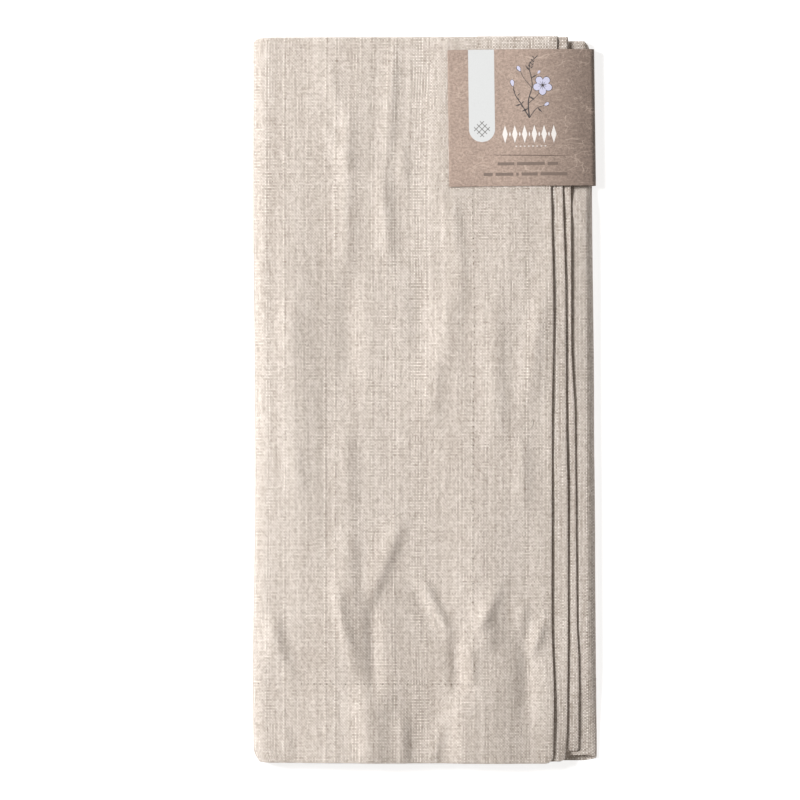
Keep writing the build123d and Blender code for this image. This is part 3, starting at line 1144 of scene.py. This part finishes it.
class SeamTree:
    """The Geometry Nodes tree that sets a shape at even steps along seam lines."""

    SIZES = ("Pitch", "Length", "Width", "Start", "Unevenness")

    def __init__(self, name: str) -> None:
        """Build the tree: lines to evenly spaced points, a long bead on each, then one plain mesh."""
        tree = bpy.data.node_groups.new(name, "GeometryNodeTree")
        sockets = tree.interface
        sockets.new_socket("Geometry", in_out="INPUT", socket_type="NodeSocketGeometry")
        for label in self.SIZES:
            sockets.new_socket(label, in_out="INPUT", socket_type="NodeSocketFloat")
        sockets.new_socket("Seed", in_out="INPUT", socket_type="NodeSocketInt")
        sockets.new_socket("Material", in_out="INPUT", socket_type="NodeSocketMaterial")
        sockets.new_socket("Geometry", in_out="OUTPUT", socket_type="NodeSocketGeometry")
        self.tree = tree
        self.wire()

    def node(self, kind: str, **options: object) -> bpy.types.Node:
        """Add a node and set its options."""
        made = self.tree.nodes.new(kind)
        for name, value in options.items():
            setattr(made, name, value)
        return made

    def wire(self) -> None:
        """Connect the nodes."""
        link = self.tree.links.new
        given = self.node("NodeGroupInput").outputs
        line = self.node("GeometryNodeMeshToCurve")
        trimmed = self.node("GeometryNodeTrimCurve", mode="LENGTH")
        spaced = self.node("GeometryNodeCurveToPoints", mode="LENGTH")
        bead = self.node("GeometryNodeMeshUVSphere")
        for name, value in (("Segments", 8), ("Rings", 6), ("Radius", 0.5)):
            bead.inputs[name].default_value = value
        size = self.node("ShaderNodeCombineXYZ")
        vary = self.node("FunctionNodeRandomValue", data_type="FLOAT")
        low = self.node("ShaderNodeMath", operation="SUBTRACT")
        high = self.node("ShaderNodeMath", operation="ADD")
        low.inputs[0].default_value = high.inputs[0].default_value = 1.0
        scale = self.node("ShaderNodeVectorMath", operation="SCALE")
        placed = self.node("GeometryNodeInstanceOnPoints")
        start, end = ([s for s in trimmed.inputs if s.name == n and s.enabled][-1] for n in ("Start", "End"))
        end.default_value = 10.0
        numbers = {socket.name: socket for socket in vary.inputs if socket.enabled}
        varied = next(socket for socket in vary.outputs if socket.enabled)
        for source, socket in (
            (given["Geometry"], line.inputs["Mesh"]), (line.outputs["Curve"], trimmed.inputs["Curve"]),
            (given["Start"], start), (trimmed.outputs["Curve"], spaced.inputs["Curve"]),
            (given["Pitch"], spaced.inputs["Length"]), (given["Width"], size.inputs[0]),
            (given["Width"], size.inputs[1]), (given["Length"], size.inputs[2]),
            (given["Unevenness"], low.inputs[1]), (given["Unevenness"], high.inputs[1]),
            (low.outputs[0], numbers["Min"]), (high.outputs[0], numbers["Max"]),
            (given["Seed"], numbers["Seed"]), (size.outputs[0], scale.inputs[0]),
            (varied, scale.inputs["Scale"]), (spaced.outputs["Points"], placed.inputs["Points"]),
            (spaced.outputs["Rotation"], placed.inputs["Rotation"]),
            (bead.outputs["Mesh"], placed.inputs["Instance"]), (scale.outputs[0], placed.inputs["Scale"]),
        ):
            link(source, socket)
        shape = placed.outputs["Instances"]
        for kind in ("GeometryNodeRealizeInstances", "GeometryNodeSetShadeSmooth", "GeometryNodeSetMaterial"):
            last = self.node(kind)
            link(shape, last.inputs["Geometry"])
            shape = last.outputs["Geometry"]
        link(given["Material"], last.inputs["Material"])
        link(shape, self.node("NodeGroupOutput").inputs["Geometry"])

    def apply(self, lines: bpy.types.Object, name: str, **inputs: object) -> bpy.types.Object:
        """Run the tree on an object of seam lines, and turn the result into a plain mesh.

        Args:
            lines: An object whose edges are the seam lines. It is removed.
            name: Name of the piece that is made.
            inputs: Values of the tree's named inputs.

        Returns:
            The new piece, with no modifier.
        """
        modifier = lines.modifiers.new("seam", "NODES")
        modifier.node_group = self.tree
        for socket in self.tree.interface.items_tree:
            if getattr(socket, "in_out", "") == "INPUT" and socket.name in inputs:
                modifier[socket.identifier] = inputs[socket.name]
        bpy.context.view_layer.update()
        shape = lines.evaluated_get(bpy.context.evaluated_depsgraph_get())
        mesh = bpy.data.meshes.new_from_object(shape)
        mesh.name = name
        lines.modifiers.clear()
        bpy.data.objects.remove(lines)
        return put(name, mesh)


@dataclass
class HemSeams:
    """The rows of stitches along the four hems, with the holes that the needle left, drawn as dark beads of
    painted shade.
    """

    form: PackForm
    thread: ThreadFinish
    hole: PlainFinish
    pitch: float = 3.0 * MM
    stitch: float = 2.45 * MM
    width: float = 0.38 * MM
    sink: float = 0.08 * MM
    hole_lift: float = 0.02 * MM
    hole_size: tuple[float, float] = (0.62 * MM, 0.50 * MM)

    def side_column(self, y: Array, layer: Layer, tucked: bool) -> Array:
        """Column of a side seam along the pack."""
        form = self.form
        tuck_x, flap_x = form.layer_edges(layer, y)
        if tucked:
            return form.seam / (form.right_axis - tuck_x) + 0 * y
        return 4 + (flap_x - form.seam - form.left_axis) / (flap_x - form.left_axis)

    def side_line(self, layer: Layer, tucked: bool, lift: float) -> Array:
        """The run of a side seam in one layer, at a height off the cloth."""
        form = self.form
        free = layer in (Layer.OUTER, Layer.SECOND)
        low = form.foot_y + (form.seam if free else form.foot_fold + form.pitch)
        low_y = low + (self.pitch * 0.2 if free else 0.0)
        y = np.arange(low_y, form.head_y - 3.2 * MM, 1.5 * MM)
        return form.at(self.side_column(y, layer, tucked), y, layer, lift)

    def end_line(self, layer: Layer, lift: float) -> Array:
        """The run of an end seam round both folds, at a height off the cloth."""
        form = self.form
        start = np.array([form.foot_y + form.seam])
        first = float(self.side_column(start, layer, True)[0])
        last = float(self.side_column(start, layer, False)[0])
        column = np.unique(np.concatenate([
            np.linspace(first, 1, 60), np.linspace(1, 2, 40), np.linspace(2, 3, 60), np.linspace(3, 4, 40),
            np.linspace(4, last, 60),
        ]))
        y = form.foot_line(column, layer) + form.seam
        return form.at(column, y, layer, lift)

    def runs(self, lift: float) -> tuple[list[Array], list[Array], list[Array], list[Array]]:
        """The lines of the flap's side seam, the tucked side seam, and the outer and inner end seams."""
        return (
            [self.side_line(layer, False, lift) for layer in Layer],
            [self.side_line(layer, True, lift) for layer in Layer],
            [self.end_line(Layer.OUTER, lift)],
            [self.end_line(Layer.SECOND, lift)],
        )

    def lines_object(self, lines: Sequence[Array]) -> bpy.types.Object:
        """An object of loose edges along the given lines."""
        points = np.concatenate(lines)
        points[:, 2] = np.maximum(points[:, 2], 0.6 * self.width)
        edges: list[tuple[int, int]] = []
        start = 0
        for line in lines:
            edges += [(start + k, start + k + 1) for k in range(len(line) - 1)]
            start += len(line)
        mesh = bpy.data.meshes.new("seam_lines")
        mesh.from_pydata([tuple(p) for p in points], edges, [])
        return put("seam_lines", mesh)

    def build(self) -> list[bpy.types.Object]:
        """Sew the four hems."""
        tree = SeamTree("hem_seam")
        thread, hole = self.thread.material(), self.hole.material()
        names = ("side_hem_{}_flap", "side_hem_{}_tucked", "end_hem_{}_outer", "end_hem_{}_inner")
        pieces = []
        for seed, (name, lines) in enumerate(zip(names, self.runs(-self.sink))):
            piece = tree.apply(
                self.lines_object(lines), name.format("stitches"), Pitch=self.pitch, Length=self.stitch,
                Width=self.width, Start=self.pitch / 2, Unevenness=0.12, Seed=seed, Material=thread,
            )
            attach(piece, "runner")
            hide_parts(name.format("thread"))
            show_count(piece)
            pieces.append(piece)
        # Each needle hole gets a dark bead of painted shade, just proud of the cloth.
        every = [line for lines in self.runs(self.hole_lift) for line in lines]
        holes = tree.apply(
            self.lines_object(every), "needle_holes", Pitch=self.pitch, Length=self.hole_size[0],
            Width=self.hole_size[1], Start=0.0, Unevenness=0.3, Seed=9, Material=hole,
        )
        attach(holes, "runner")
        show_count(holes)
        return [*pieces, holes]

# ---- Loose fibres ----

@dataclass
class LooseFibres:
    """Short fibres that stand off the cloth: a loop on the flap, and fuzz along the free edges."""

    form: PackForm
    finish: PlainFinish
    hairs: int = 90
    loop: tuple[tuple[float, float], ...] = (
        (50.6, -8.6), (51.6, -9.4), (52.0, -10.8), (51.5, -12.3), (50.6, -13.2), (51.0, -14.2),
    )

    def tube(self, path: Array, width: float, sides: int = 5) -> tuple[Array, list[list[int]]]:
        """A thin closed tube along a path.

        Args:
            path: Places along its middle, one row each, in metres.
            width: Its thickness in the middle, in metres. It thins to the ends.
            sides: How many sides it has.

        Returns:
            Its corners and its faces.
        """
        run = np.gradient(path, axis=0)
        run /= np.linalg.norm(run, axis=1, keepdims=True)
        first = np.cross(run, (0.13, 0.21, 0.97))
        first /= np.linalg.norm(first, axis=1, keepdims=True)
        second = np.cross(run, first)
        taper = 0.35 + 0.65 * np.sin(math.pi * np.linspace(0, 1, len(path)))
        angles = (2 * math.pi * np.arange(sides) / sides)[None, :, None]
        ring = first[:, None, :] * np.cos(angles) + second[:, None, :] * np.sin(angles)
        corners = path[:, None, :] + ring * (taper * width / 2)[:, None, None]
        number = np.arange(len(path) * sides).reshape(len(path), sides)
        faces = [[int(number[k, j]), int(number[k, (j + 1) % sides]),
                  int(number[k + 1, (j + 1) % sides]), int(number[k + 1, j])]
                 for k in range(len(path) - 1) for j in range(sides)]
        return corners.reshape(-1, 3), faces + [number[0, ::-1].tolist(), number[-1].tolist()]

    def on_flap(self, x: Array, y: Array, layer: Layer, lift: Array) -> Array:
        """Places at a height over the flap."""
        _, flap_x = self.form.layer_edges(layer, y)
        column = 4 + (x - self.form.left_axis) / (flap_x - self.form.left_axis)
        places = self.form.at(np.minimum(column, 5.0), y, layer)
        return np.column_stack([x, places[:, 1], places[:, 2] + lift])

    def hair(self, dice: np.random.Generator, layer: Layer) -> Array:
        """The path of one short hair that springs from a free edge."""
        y = np.full(5, dice.uniform(self.form.foot_y + 8 * MM, self.form.label_low[1] - 6 * MM))
        _, edge = self.form.layer_edges(layer, y[:1])
        share = np.linspace(0, 1, 5)
        reach, lean = dice.uniform(0.5, 1.5) * MM, dice.uniform(-1.2, 1.2) * MM
        x = edge[0] - 0.3 * MM + reach * share
        y = y + lean * share**1.5
        return self.on_flap(x, y, layer, (0.05 + 0.35 * np.sin(2.2 * share)) * MM)

    def build(self) -> bpy.types.Object:
        """Make every fibre, as one piece."""
        dice = np.random.default_rng(17)
        bend = np.array(self.loop) * MM
        share = np.linspace(0, len(bend) - 1, 22)
        x, y = (np.interp(share, range(len(bend)), bend[:, k]) for k in (0, 1))
        loop = self.on_flap(x, y, Layer.OUTER, (0.25 + 0.5 * np.sin(math.pi * share / share[-1])) * MM)
        parts = [self.tube(loop, 0.26 * MM)]
        layers = (Layer.OUTER, Layer.OUTER, Layer.SECOND, Layer.THIRD)
        for k in range(self.hairs):
            parts.append(self.tube(self.hair(dice, layers[k % 4]), dice.uniform(0.05, 0.09) * MM))
        points, faces, start = [], [], 0
        for corners, sides in parts:
            points.append(corners)
            faces += [[start + n for n in side] for side in sides]
            start += len(corners)
        piece = new_piece("loose_fibres", np.concatenate(points), faces)
        turn_outwards(piece)
        piece.data.materials.append(self.finish.material())
        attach(piece, "runner")
        show_count(piece)
        return piece


# ---- The label ----

@dataclass(frozen=True)
class Stroke:
    """A printed mark: a line through a few places on the leaf, with its width along the way."""

    points: tuple[tuple[float, float], ...]
    widths: tuple[float, ...]
    steps: int = 12

    def path(self) -> tuple[Array, Array]:
        """Centre line and width at each step, in millimetres."""
        given = np.array(self.points, float)
        if len(given) == 2:
            share = np.linspace(0, 1, self.steps + 1)[:, None]
            line = given[0] * (1 - share) + given[1] * share
        else:
            padded = np.vstack([2 * given[0] - given[1], given, 2 * given[-1] - given[-2]])
            spans = len(given) - 1
            line = []
            for t in np.linspace(0, spans, self.steps + 1):
                k = min(int(t), spans - 1)
                f = t - k
                a, b, c, d = padded[k:k + 4]
                line.append(0.5 * (2 * b + (c - a) * f + (2 * a - 5 * b + 4 * c - d) * f**2
                                   + (3 * b - a - 3 * c + d) * f**3))
            line = np.array(line)
        width = np.interp(np.linspace(0, 1, self.steps + 1), np.linspace(0, 1, len(self.widths)), self.widths)
        return line, width


def petal(centre: tuple[float, float], angle: float, reach: float, width: float) -> Stroke:
    """A rounded petal or bud that grows from a centre, at an angle in degrees."""
    turn = math.radians(angle)
    tip = (centre[0] + reach * math.cos(turn), centre[1] + reach * math.sin(turn))
    shares = [k / 12 for k in range(13)]
    swell = tuple(width * math.sin(math.pi * share) ** 0.55 * (0.55 + 0.6 * share) for share in shares)
    return Stroke((centre, tip), swell, 12)


def leaf_mark(root: tuple[float, float], tip: tuple[float, float], width: float) -> Stroke:
    """A slim pointed leaf."""
    return Stroke((root, tip), (0.05, width * 0.8, width, width * 0.6, 0.02), 8)


@dataclass
class CardLabel:
    """The bent card with its printing, and the glue that holds it."""

    finish: CardFinish
    leaf: float = 70.9 * MM
    back_leaf: float = 64.0 * MM
    tall: float = 65.7 * MM
    card: float = 0.35 * MM
    bend: float = 3.0 * MM
    press_from: float = 38.0 * MM
    press_reach: float = 22.6 * MM
    turn: float = math.radians(0.75)

    def __post_init__(self) -> None:
        """Take the card's place from the frame and lay out its bent line."""
        low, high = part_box("label_card")
        self.centre = ((low.x + high.x) / 2, (low.y + high.y) / 2 + 0.25 * MM)
        self.top = high.z
        self.line = self.bent_line()
        steps = np.linalg.norm(np.diff(self.line, axis=0), axis=1)
        self.places = np.concatenate([[0.0], np.cumsum(steps)])

    def bent_line(self) -> Array:
        """Middle line of the card in the plane across the pack, from the front leaf's free edge round."""
        spine = self.centre[0] + self.leaf / 2 - self.card / 2
        front = spine + self.card / 2 - self.leaf
        high, low = self.top - self.card / 2, self.card / 2
        x = np.append(np.arange(front, spine - 1.6 * self.bend, 2.0 * MM), spine)
        fall = np.clip((x - self.press_from) / self.press_reach, 0.0, None) ** 2.6 * MM
        leaf = list(np.column_stack([x, high - fall]))
        back = [np.array((spine, low)), np.array((spine + self.card / 2 - self.back_leaf, low))]
        line = leaf[:-1]
        line += self.bend_points(leaf[-2], leaf[-1], back[0], self.bend)
        line += self.bend_points(leaf[-1], back[0], back[1], self.bend)
        line.append(back[1])
        spaced = [line[0]]
        for a, b in zip(line, line[1:]):
            count = max(1, round(float(np.linalg.norm(b - a)) / (1.0 * MM)))
            spaced += [a + (b - a) * n / count for n in range(1, count + 1)]
        return np.array(spaced)

    def bend_points(self, before: Array, corner: Array, after: Array, radius: float) -> list[Array]:
        """Points of an arc that rounds one corner of the card's line."""
        first = (before - corner) / np.linalg.norm(before - corner)
        second = (after - corner) / np.linalg.norm(after - corner)
        half = math.acos(float(np.clip(first @ second, -1, 1))) / 2
        centre = corner + (first + second) / np.linalg.norm(first + second) * radius / math.sin(half)
        start = corner + first * radius / math.tan(half)
        stop = corner + second * radius / math.tan(half)
        a, b = start - centre, stop - centre
        turn = math.acos(float(np.clip(a @ b / radius**2, -1, 1)))
        count = max(4, round(math.degrees(turn) / 9))
        way = 1.0 if a[0] * b[1] - a[1] * b[0] > 0 else -1.0
        points = []
        for k in range(count + 1):
            angle = way * turn * k / count
            cosine, sine = math.cos(angle), math.sin(angle)
            points.append(centre + np.array([a[0] * cosine - a[1] * sine, a[0] * sine + a[1] * cosine]))
        return points

    def bow(self, along: Array, up: Array) -> Array:
        """How far the front leaf stands off its flat shape: its free edge and corners lift a little."""
        free = np.clip(1 - along / (22 * MM), 0, 1) ** 2
        corner = np.clip(np.abs(up - self.tall / 2) / (self.tall / 2), 0, 1) ** 4
        wave = 0.05 * MM * soft_noise(along, up, 0.016, 0.02, 71)
        flat = np.clip(1 - (along - 50 * MM) / (15 * MM), 0, 1)
        return (0.12 * MM * free + 0.22 * MM * free * corner + wave) * flat

    def point(self, along: Array, up: Array, lift: Array | float) -> Array:
        """Places on the card.

        Args:
            along: Distance along the bent card from the front leaf's free edge.
            up: Distance down from the label's upper edge.
            lift: Distance from the card's middle, outwards.

        Returns:
            One row for each place, in the row frame.
        """
        def on_line(place: Array) -> Array:
            """x and z of the bent line at a distance along it."""
            return np.array([np.interp(place, self.places, self.line[:, k]) for k in (0, 1)])

        step = 0.3 * MM
        x, z = on_line(along)
        run_x, run_z = on_line(along + step) - on_line(along - step)
        size = np.hypot(run_x, run_z)
        out = lift + self.bow(along, up)
        x, z = x - run_z / size * out, z + run_x / size * out
        y = self.centre[1] + self.tall / 2 - up
        away_x, away_y = x - self.centre[0], y - self.centre[1]
        cosine, sine = math.cos(self.turn), math.sin(self.turn)
        turned_x = self.centre[0] + away_x * cosine - away_y * sine
        turned_y = self.centre[1] + away_x * sine + away_y * cosine
        return np.column_stack([turned_x, turned_y, z])

    def board(self) -> None:
        """The card itself, with slightly rounded cut edges."""
        rim = 0.06 * MM
        total = self.places[-1]
        along = np.unique(np.concatenate([[0, rim, total - rim, total], self.places[1:-1]]))
        rows = np.linspace(0, self.tall, 25)[1:-1]
        up = np.unique(np.concatenate([[0, rim, self.tall - rim, self.tall], rows]))
        grid_along, grid_up = np.meshgrid(along, up)
        near = np.minimum.reduce([grid_along, total - grid_along, grid_up, self.tall - grid_up])
        half = self.card / 2 - 0.5 * rim * (1 - np.clip(near / rim, 0, 1))
        tall, wide = grid_along.shape
        front = self.point(grid_along.ravel(), grid_up.ravel(), half.ravel())
        back = self.point(grid_along.ravel(), grid_up.ravel(), -half.ravel())
        number = np.arange(tall * wide).reshape(tall, wide)
        quads = grid_faces(number)
        faces = np.concatenate([quads[:, ::-1], quads + number.size, grid_walls(number, number.size)])
        piece = new_piece("label_board", np.concatenate([front, back]), faces.tolist())
        piece.data.set_sharp_from_angle(angle=math.radians(50))
        places = np.column_stack([grid_along.ravel(), grid_up.ravel(), np.zeros(tall * wide)])
        add_place(piece, "leaf", np.concatenate([places, places + (0.2, 0.1, 0)]))
        piece.data.materials.append(self.finish.material())
        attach(piece, "label")
        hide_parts("label_card")
        show_count(piece)

    def film(self, stroke: Stroke, proud: float) -> tuple[Array, Array]:
        """A thin closed slab for one printed mark.

        Args:
            stroke: The mark.
            proud: How far its face stands off the card.

        Returns:
            Its corners, and its faces as rows of four corner numbers.
        """
        line, width = stroke.path()
        run = np.gradient(line, axis=0)
        run = run / np.maximum(np.linalg.norm(run, axis=1, keepdims=True), 1e-9)
        side = np.column_stack([-run[:, 1], run[:, 0]]) * (width[:, None] / 2)
        lanes = max(2, math.ceil(float(width.max()) / 0.9) + 1)
        across = np.linspace(-1, 1, lanes)
        grid = (line[:, None, :] + across[None, :, None] * side[:, None, :]).reshape(-1, 2) * MM
        top = self.point(grid[:, 0], grid[:, 1], self.card / 2 + proud)
        under = self.point(grid[:, 0], grid[:, 1], self.card / 2 - 0.03 * MM)
        number = np.arange(len(grid)).reshape(len(line), lanes)
        quads = grid_faces(number)
        walls = grid_walls(number, len(grid))
        return np.concatenate([top, under]), np.concatenate([quads, quads[:, ::-1] + len(grid), walls])

    def printed(
        self, name: str, finish: PlainFinish, strokes: Sequence[Stroke], proud: float = 0.02 * MM
    ) -> None:
        """Print some marks in one ink, each a thin closed film on the card."""
        points: list[Array] = []
        faces: list[Array] = []
        for stroke in strokes:
            corners, quads = self.film(stroke, proud)
            faces.append(quads + sum(len(p) for p in points))
            points.append(corners)
        piece = new_piece(name, np.concatenate(points), np.concatenate(faces).tolist(), smooth=False)
        turn_outwards(piece)
        piece.data.materials.append(finish.material())
        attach(piece, "label")
        show_count(piece)

    def stripe(self) -> None:
        """The pale band down the leaf, with a round end and a small woven mark."""
        left, wide, bottom = 9.9, 12.5, 44.4
        middle, radius = left + wide / 2, wide / 2
        straight = bottom - radius
        steps = 110
        shares = np.linspace(0, 1, steps + 1) * bottom
        widths = [2 * math.sqrt(max(radius**2 - max(s - straight, 0) ** 2, 0.0004)) for s in shares]
        self.printed("label_stripe", ink("stripe_ink", (0.665, 0.68, 0.69), 0.03),
                     [Stroke(((middle, 0.0), (middle, bottom)), tuple(widths), steps)])
        bars = []
        for k in (-1, 0, 1):
            for flat in (True, False):
                a, b = (-3.3, k * 2.0) if flat else (k * 2.0, -3.3)
                c, d = (3.3, k * 2.0) if flat else (k * 2.0, 3.3)
                turn = math.sqrt(0.5)
                ends = [(middle + (u - v) * turn, straight + (u + v) * turn) for u, v in ((a, b), (c, d))]
                bars.append(Stroke((ends[0], ends[1]), (0.34, 0.34), 2))
        self.printed("label_woven_mark", ink("mark_ink", (0.19, 0.185, 0.18), 0.1), bars, 0.04 * MM)

    def sprig(self) -> None:
        """A sprig in flower, drawn in thin dark lines with pale lilac petals."""
        root = (39.0, 33.0)
        stems = [
            Stroke((root, (38.6, 25.0), (40.6, 17.0), (39.2, 8.0), (41.8, 4.4)), (0.75, 0.55, 0.42, 0.3), 24),
            Stroke((root, (35.6, 27.0), (32.4, 22.0), (31.4, 17.6)), (0.6, 0.45, 0.32), 16),
            Stroke(((38.7, 26.0), (42.6, 22.6), (44.4, 20.4)), (0.36, 0.28), 10),
            Stroke(((40.2, 18.4), (36.4, 13.6), (35.0, 10.4)), (0.32, 0.22), 10),
            Stroke((root, (42.4, 28.6), (46.4, 27.0)), (0.4, 0.22), 10),
        ]
        leaves = [
            leaf_mark((38.6, 28.4), (35.2, 30.0), 0.9), leaf_mark((39.0, 22.6), (41.8, 24.6), 0.8),
            leaf_mark((35.2, 26.4), (32.2, 27.2), 0.8), leaf_mark((40.0, 14.0), (43.0, 12.2), 0.7),
            leaf_mark((39.4, 10.2), (37.2, 7.6), 0.6), leaf_mark((43.0, 28.2), (45.2, 30.4), 0.8),
            leaf_mark((41.8, 4.6), (43.6, 2.8), 0.5),
        ]
        for k in range(9):
            u, v, side = 39.4 + 0.27 * k, 10.0 - 0.72 * k, 1 if k % 2 else -1
            leaves.append(leaf_mark((u, v), (u + side * (1.5 - 0.08 * k), v - 1.1), 0.62))
        for k in range(5):
            u, v, side = 32.4 + 0.95 * k, 20.6 + 1.9 * k, 1 if k % 2 else -1
            leaves.append(leaf_mark((u, v), (u + side * 1.3, v - 1.5), 0.5))
        heart = (45.6, 17.4)
        petals = [petal(heart, 20 + 72 * k, 4.7, 3.7) for k in range(5)]
        outlines = [petal(heart, 20 + 72 * k, 4.95, 4.2) for k in range(5)]
        buds = [petal((31.3, 17.8), -100, 3.3, 1.9), petal((34.9, 10.6), -118, 2.9, 1.8),
                petal((46.2, 27.1), -28, 2.6, 1.6), petal((43.2, 11.8), -50, 1.9, 1.3)]
        shells = [petal((31.3, 18.0), -100, 3.6, 2.5), petal((34.9, 10.8), -118, 3.2, 2.4),
                  petal((46.1, 27.2), -28, 2.9, 2.1)]
        turns = [math.radians(20 + 36 * k) for k in range(10)]
        tips = [(heart[0] + 2.2 * math.cos(turn), heart[1] + 2.2 * math.sin(turn)) for turn in turns]
        veins = [Stroke((heart, tip), (0.34, 0.06), 4) for tip in tips]
        line_ink = ink("line_ink", (0.085, 0.072, 0.070), 0.15)
        self.printed("sprig_lines", line_ink, stems + leaves + outlines + shells, 0.012 * MM)
        self.printed("sprig_petals", ink("petal_ink", (0.62, 0.62, 0.80), 0.06), petals + buds, 0.03 * MM)
        self.printed("sprig_veins", line_ink, veins, 0.045 * MM)

    def ornament(self) -> None:
        """A plain row of white lozenges, and a short one under it."""
        lozenges = []
        for k in range(6):
            u = 27.2 + 4.7 * k
            lozenges.append(Stroke(((u, 36.6), (u, 45.0)), (0.05, 2.6, 0.05), 8))
            if k < 5:
                lozenges.append(Stroke(((u + 2.35, 39.6), (u + 2.35, 42.0)), (0.05, 0.9, 0.05), 4))
        starts = [32.0 + 2.0 * k for k in range(8)]
        small = [Stroke(((u, 46.6), (u + 1.1, 46.6)), (0.05, 0.5, 0.05), 4) for u in starts]
        self.printed("label_ornament", ink("white_ink", (0.84, 0.81, 0.79), 0.04), lozenges + small)

    def rules(self) -> None:
        """A thin rule, and two rows of short dark bars where wording would be."""
        rule = [Stroke(((17.4, 50.6), (59.0, 51.4)), (0.05, 0.42, 0.42, 0.42, 0.05), 28)]
        bars = []
        rows = ((55.0, 23.4, (8.0, 13.4, 5.2)), (60.0, 16.6, (4.4, 8.6, 1.2, 7.8, 13.0)))
        for v, u, lengths in rows:
            for length in lengths:
                bars.append(Stroke(((u, v), (u + length, v)), (1.5, 1.5), 8))
                u += length + 1.35
        self.printed("label_rule", ink("rule_ink", (0.150, 0.108, 0.088), 0.1), rule)
        self.printed("label_bars", ink("bar_ink", (0.205, 0.155, 0.130), 0.1), bars)

    def build(self) -> None:
        """Make the card, print it, and give the glue its finish."""
        self.board()
        self.stripe()
        self.sprig()
        self.ornament()
        self.rules()
        glue = GLUE.material()
        for name in ("front_glue_dot", "back_glue_dot"):
            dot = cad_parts[name]
            dot.data.materials.clear()
            dot.data.materials.append(glue)


def turn_outwards(piece: bpy.types.Object) -> None:
    """Make the faces of a piece of closed films point outwards."""
    work = bmesh.new()
    work.from_mesh(piece.data)
    bmesh.ops.recalc_face_normals(work, faces=work.faces)
    work.to_mesh(piece.data)
    work.free()


# ---- Studio ----

@dataclass
class Studio:
    """Floor, light and camera."""

    view_width: float = 384.6 * MM
    view_shift: float = -11.8 * MM
    distance: float = 2.4
    top: float = 12.8 * MM
    sensor: float = 36.0
    floor_size: float = 6.0

    def floor(self) -> None:
        """Lay a plain pale floor under the pack."""
        half = self.floor_size / 2
        corners = [(-half, -half, 0), (half, -half, 0), (half, half, 0), (-half, half, 0)]
        made = new_piece("studio_floor", np.array(corners) - (0, 0, 0.00002), [(0, 1, 2, 3)], smooth=False)
        made.data.materials.append(FLOOR.material())

    def light(self, name: str, place: Vector, size: float, power: float, colour: Colour) -> None:
        """Hang a soft square light that faces the pack."""
        lamp = bpy.data.lights.new(name, "AREA")
        lamp.shape = "SQUARE"
        lamp.size = size
        lamp.energy = power
        lamp.color = colour
        made = put(name, lamp)
        made.location = place
        made.rotation_euler = (Vector((0, 0, 0)) - place).to_track_quat("-Z", "Y").to_euler()

    def sky(self, strength: float) -> None:
        """Fill the room with even, slightly warm light."""
        world = bpy.data.worlds.new("studio_fill")
        world.use_nodes = True
        back = world.node_tree.nodes["Background"]
        back.inputs["Color"].default_value = (1.0, 0.92, 0.83, 1.0)
        back.inputs["Strength"].default_value = strength
        bpy.context.scene.world = world

    def camera(self) -> None:
        """Look straight down from far off."""
        lens = bpy.data.cameras.new("overhead")
        lens.sensor_width = self.sensor
        lens.lens = self.sensor * (self.distance - self.top) / self.view_width
        lens.clip_end = 50.0
        made = put("overhead", lens)
        made.matrix_world = Matrix.Translation((self.view_shift, 0.0, self.distance))
        bpy.context.scene.camera = made

    def build(self) -> None:
        """Set the room up."""
        bpy.context.scene.view_settings.view_transform = "Standard"
        self.floor()
        self.light("key", Vector((-1.32, 0.52, 1.60)), 0.6, 60.0, (1.0, 1.0, 0.995))
        self.sky(0.22)
        self.camera()


def main() -> None:
    """Build the runner, its label and the studio."""
    logging.basicConfig(level=logging.INFO, format="%(message)s")
    Studio().build()
    form = PackForm.from_frame()
    cloth = FoldedCloth(form, LinenFinish())
    sheet = cloth.build()
    seams = HemSeams(form, ThreadFinish(), HOLE_SHADE).build()
    seams.append(LooseFibres(form, FIBRE).build())
    CardLabel(CardFinish()).build()


if __name__ == "__main__":
    main()
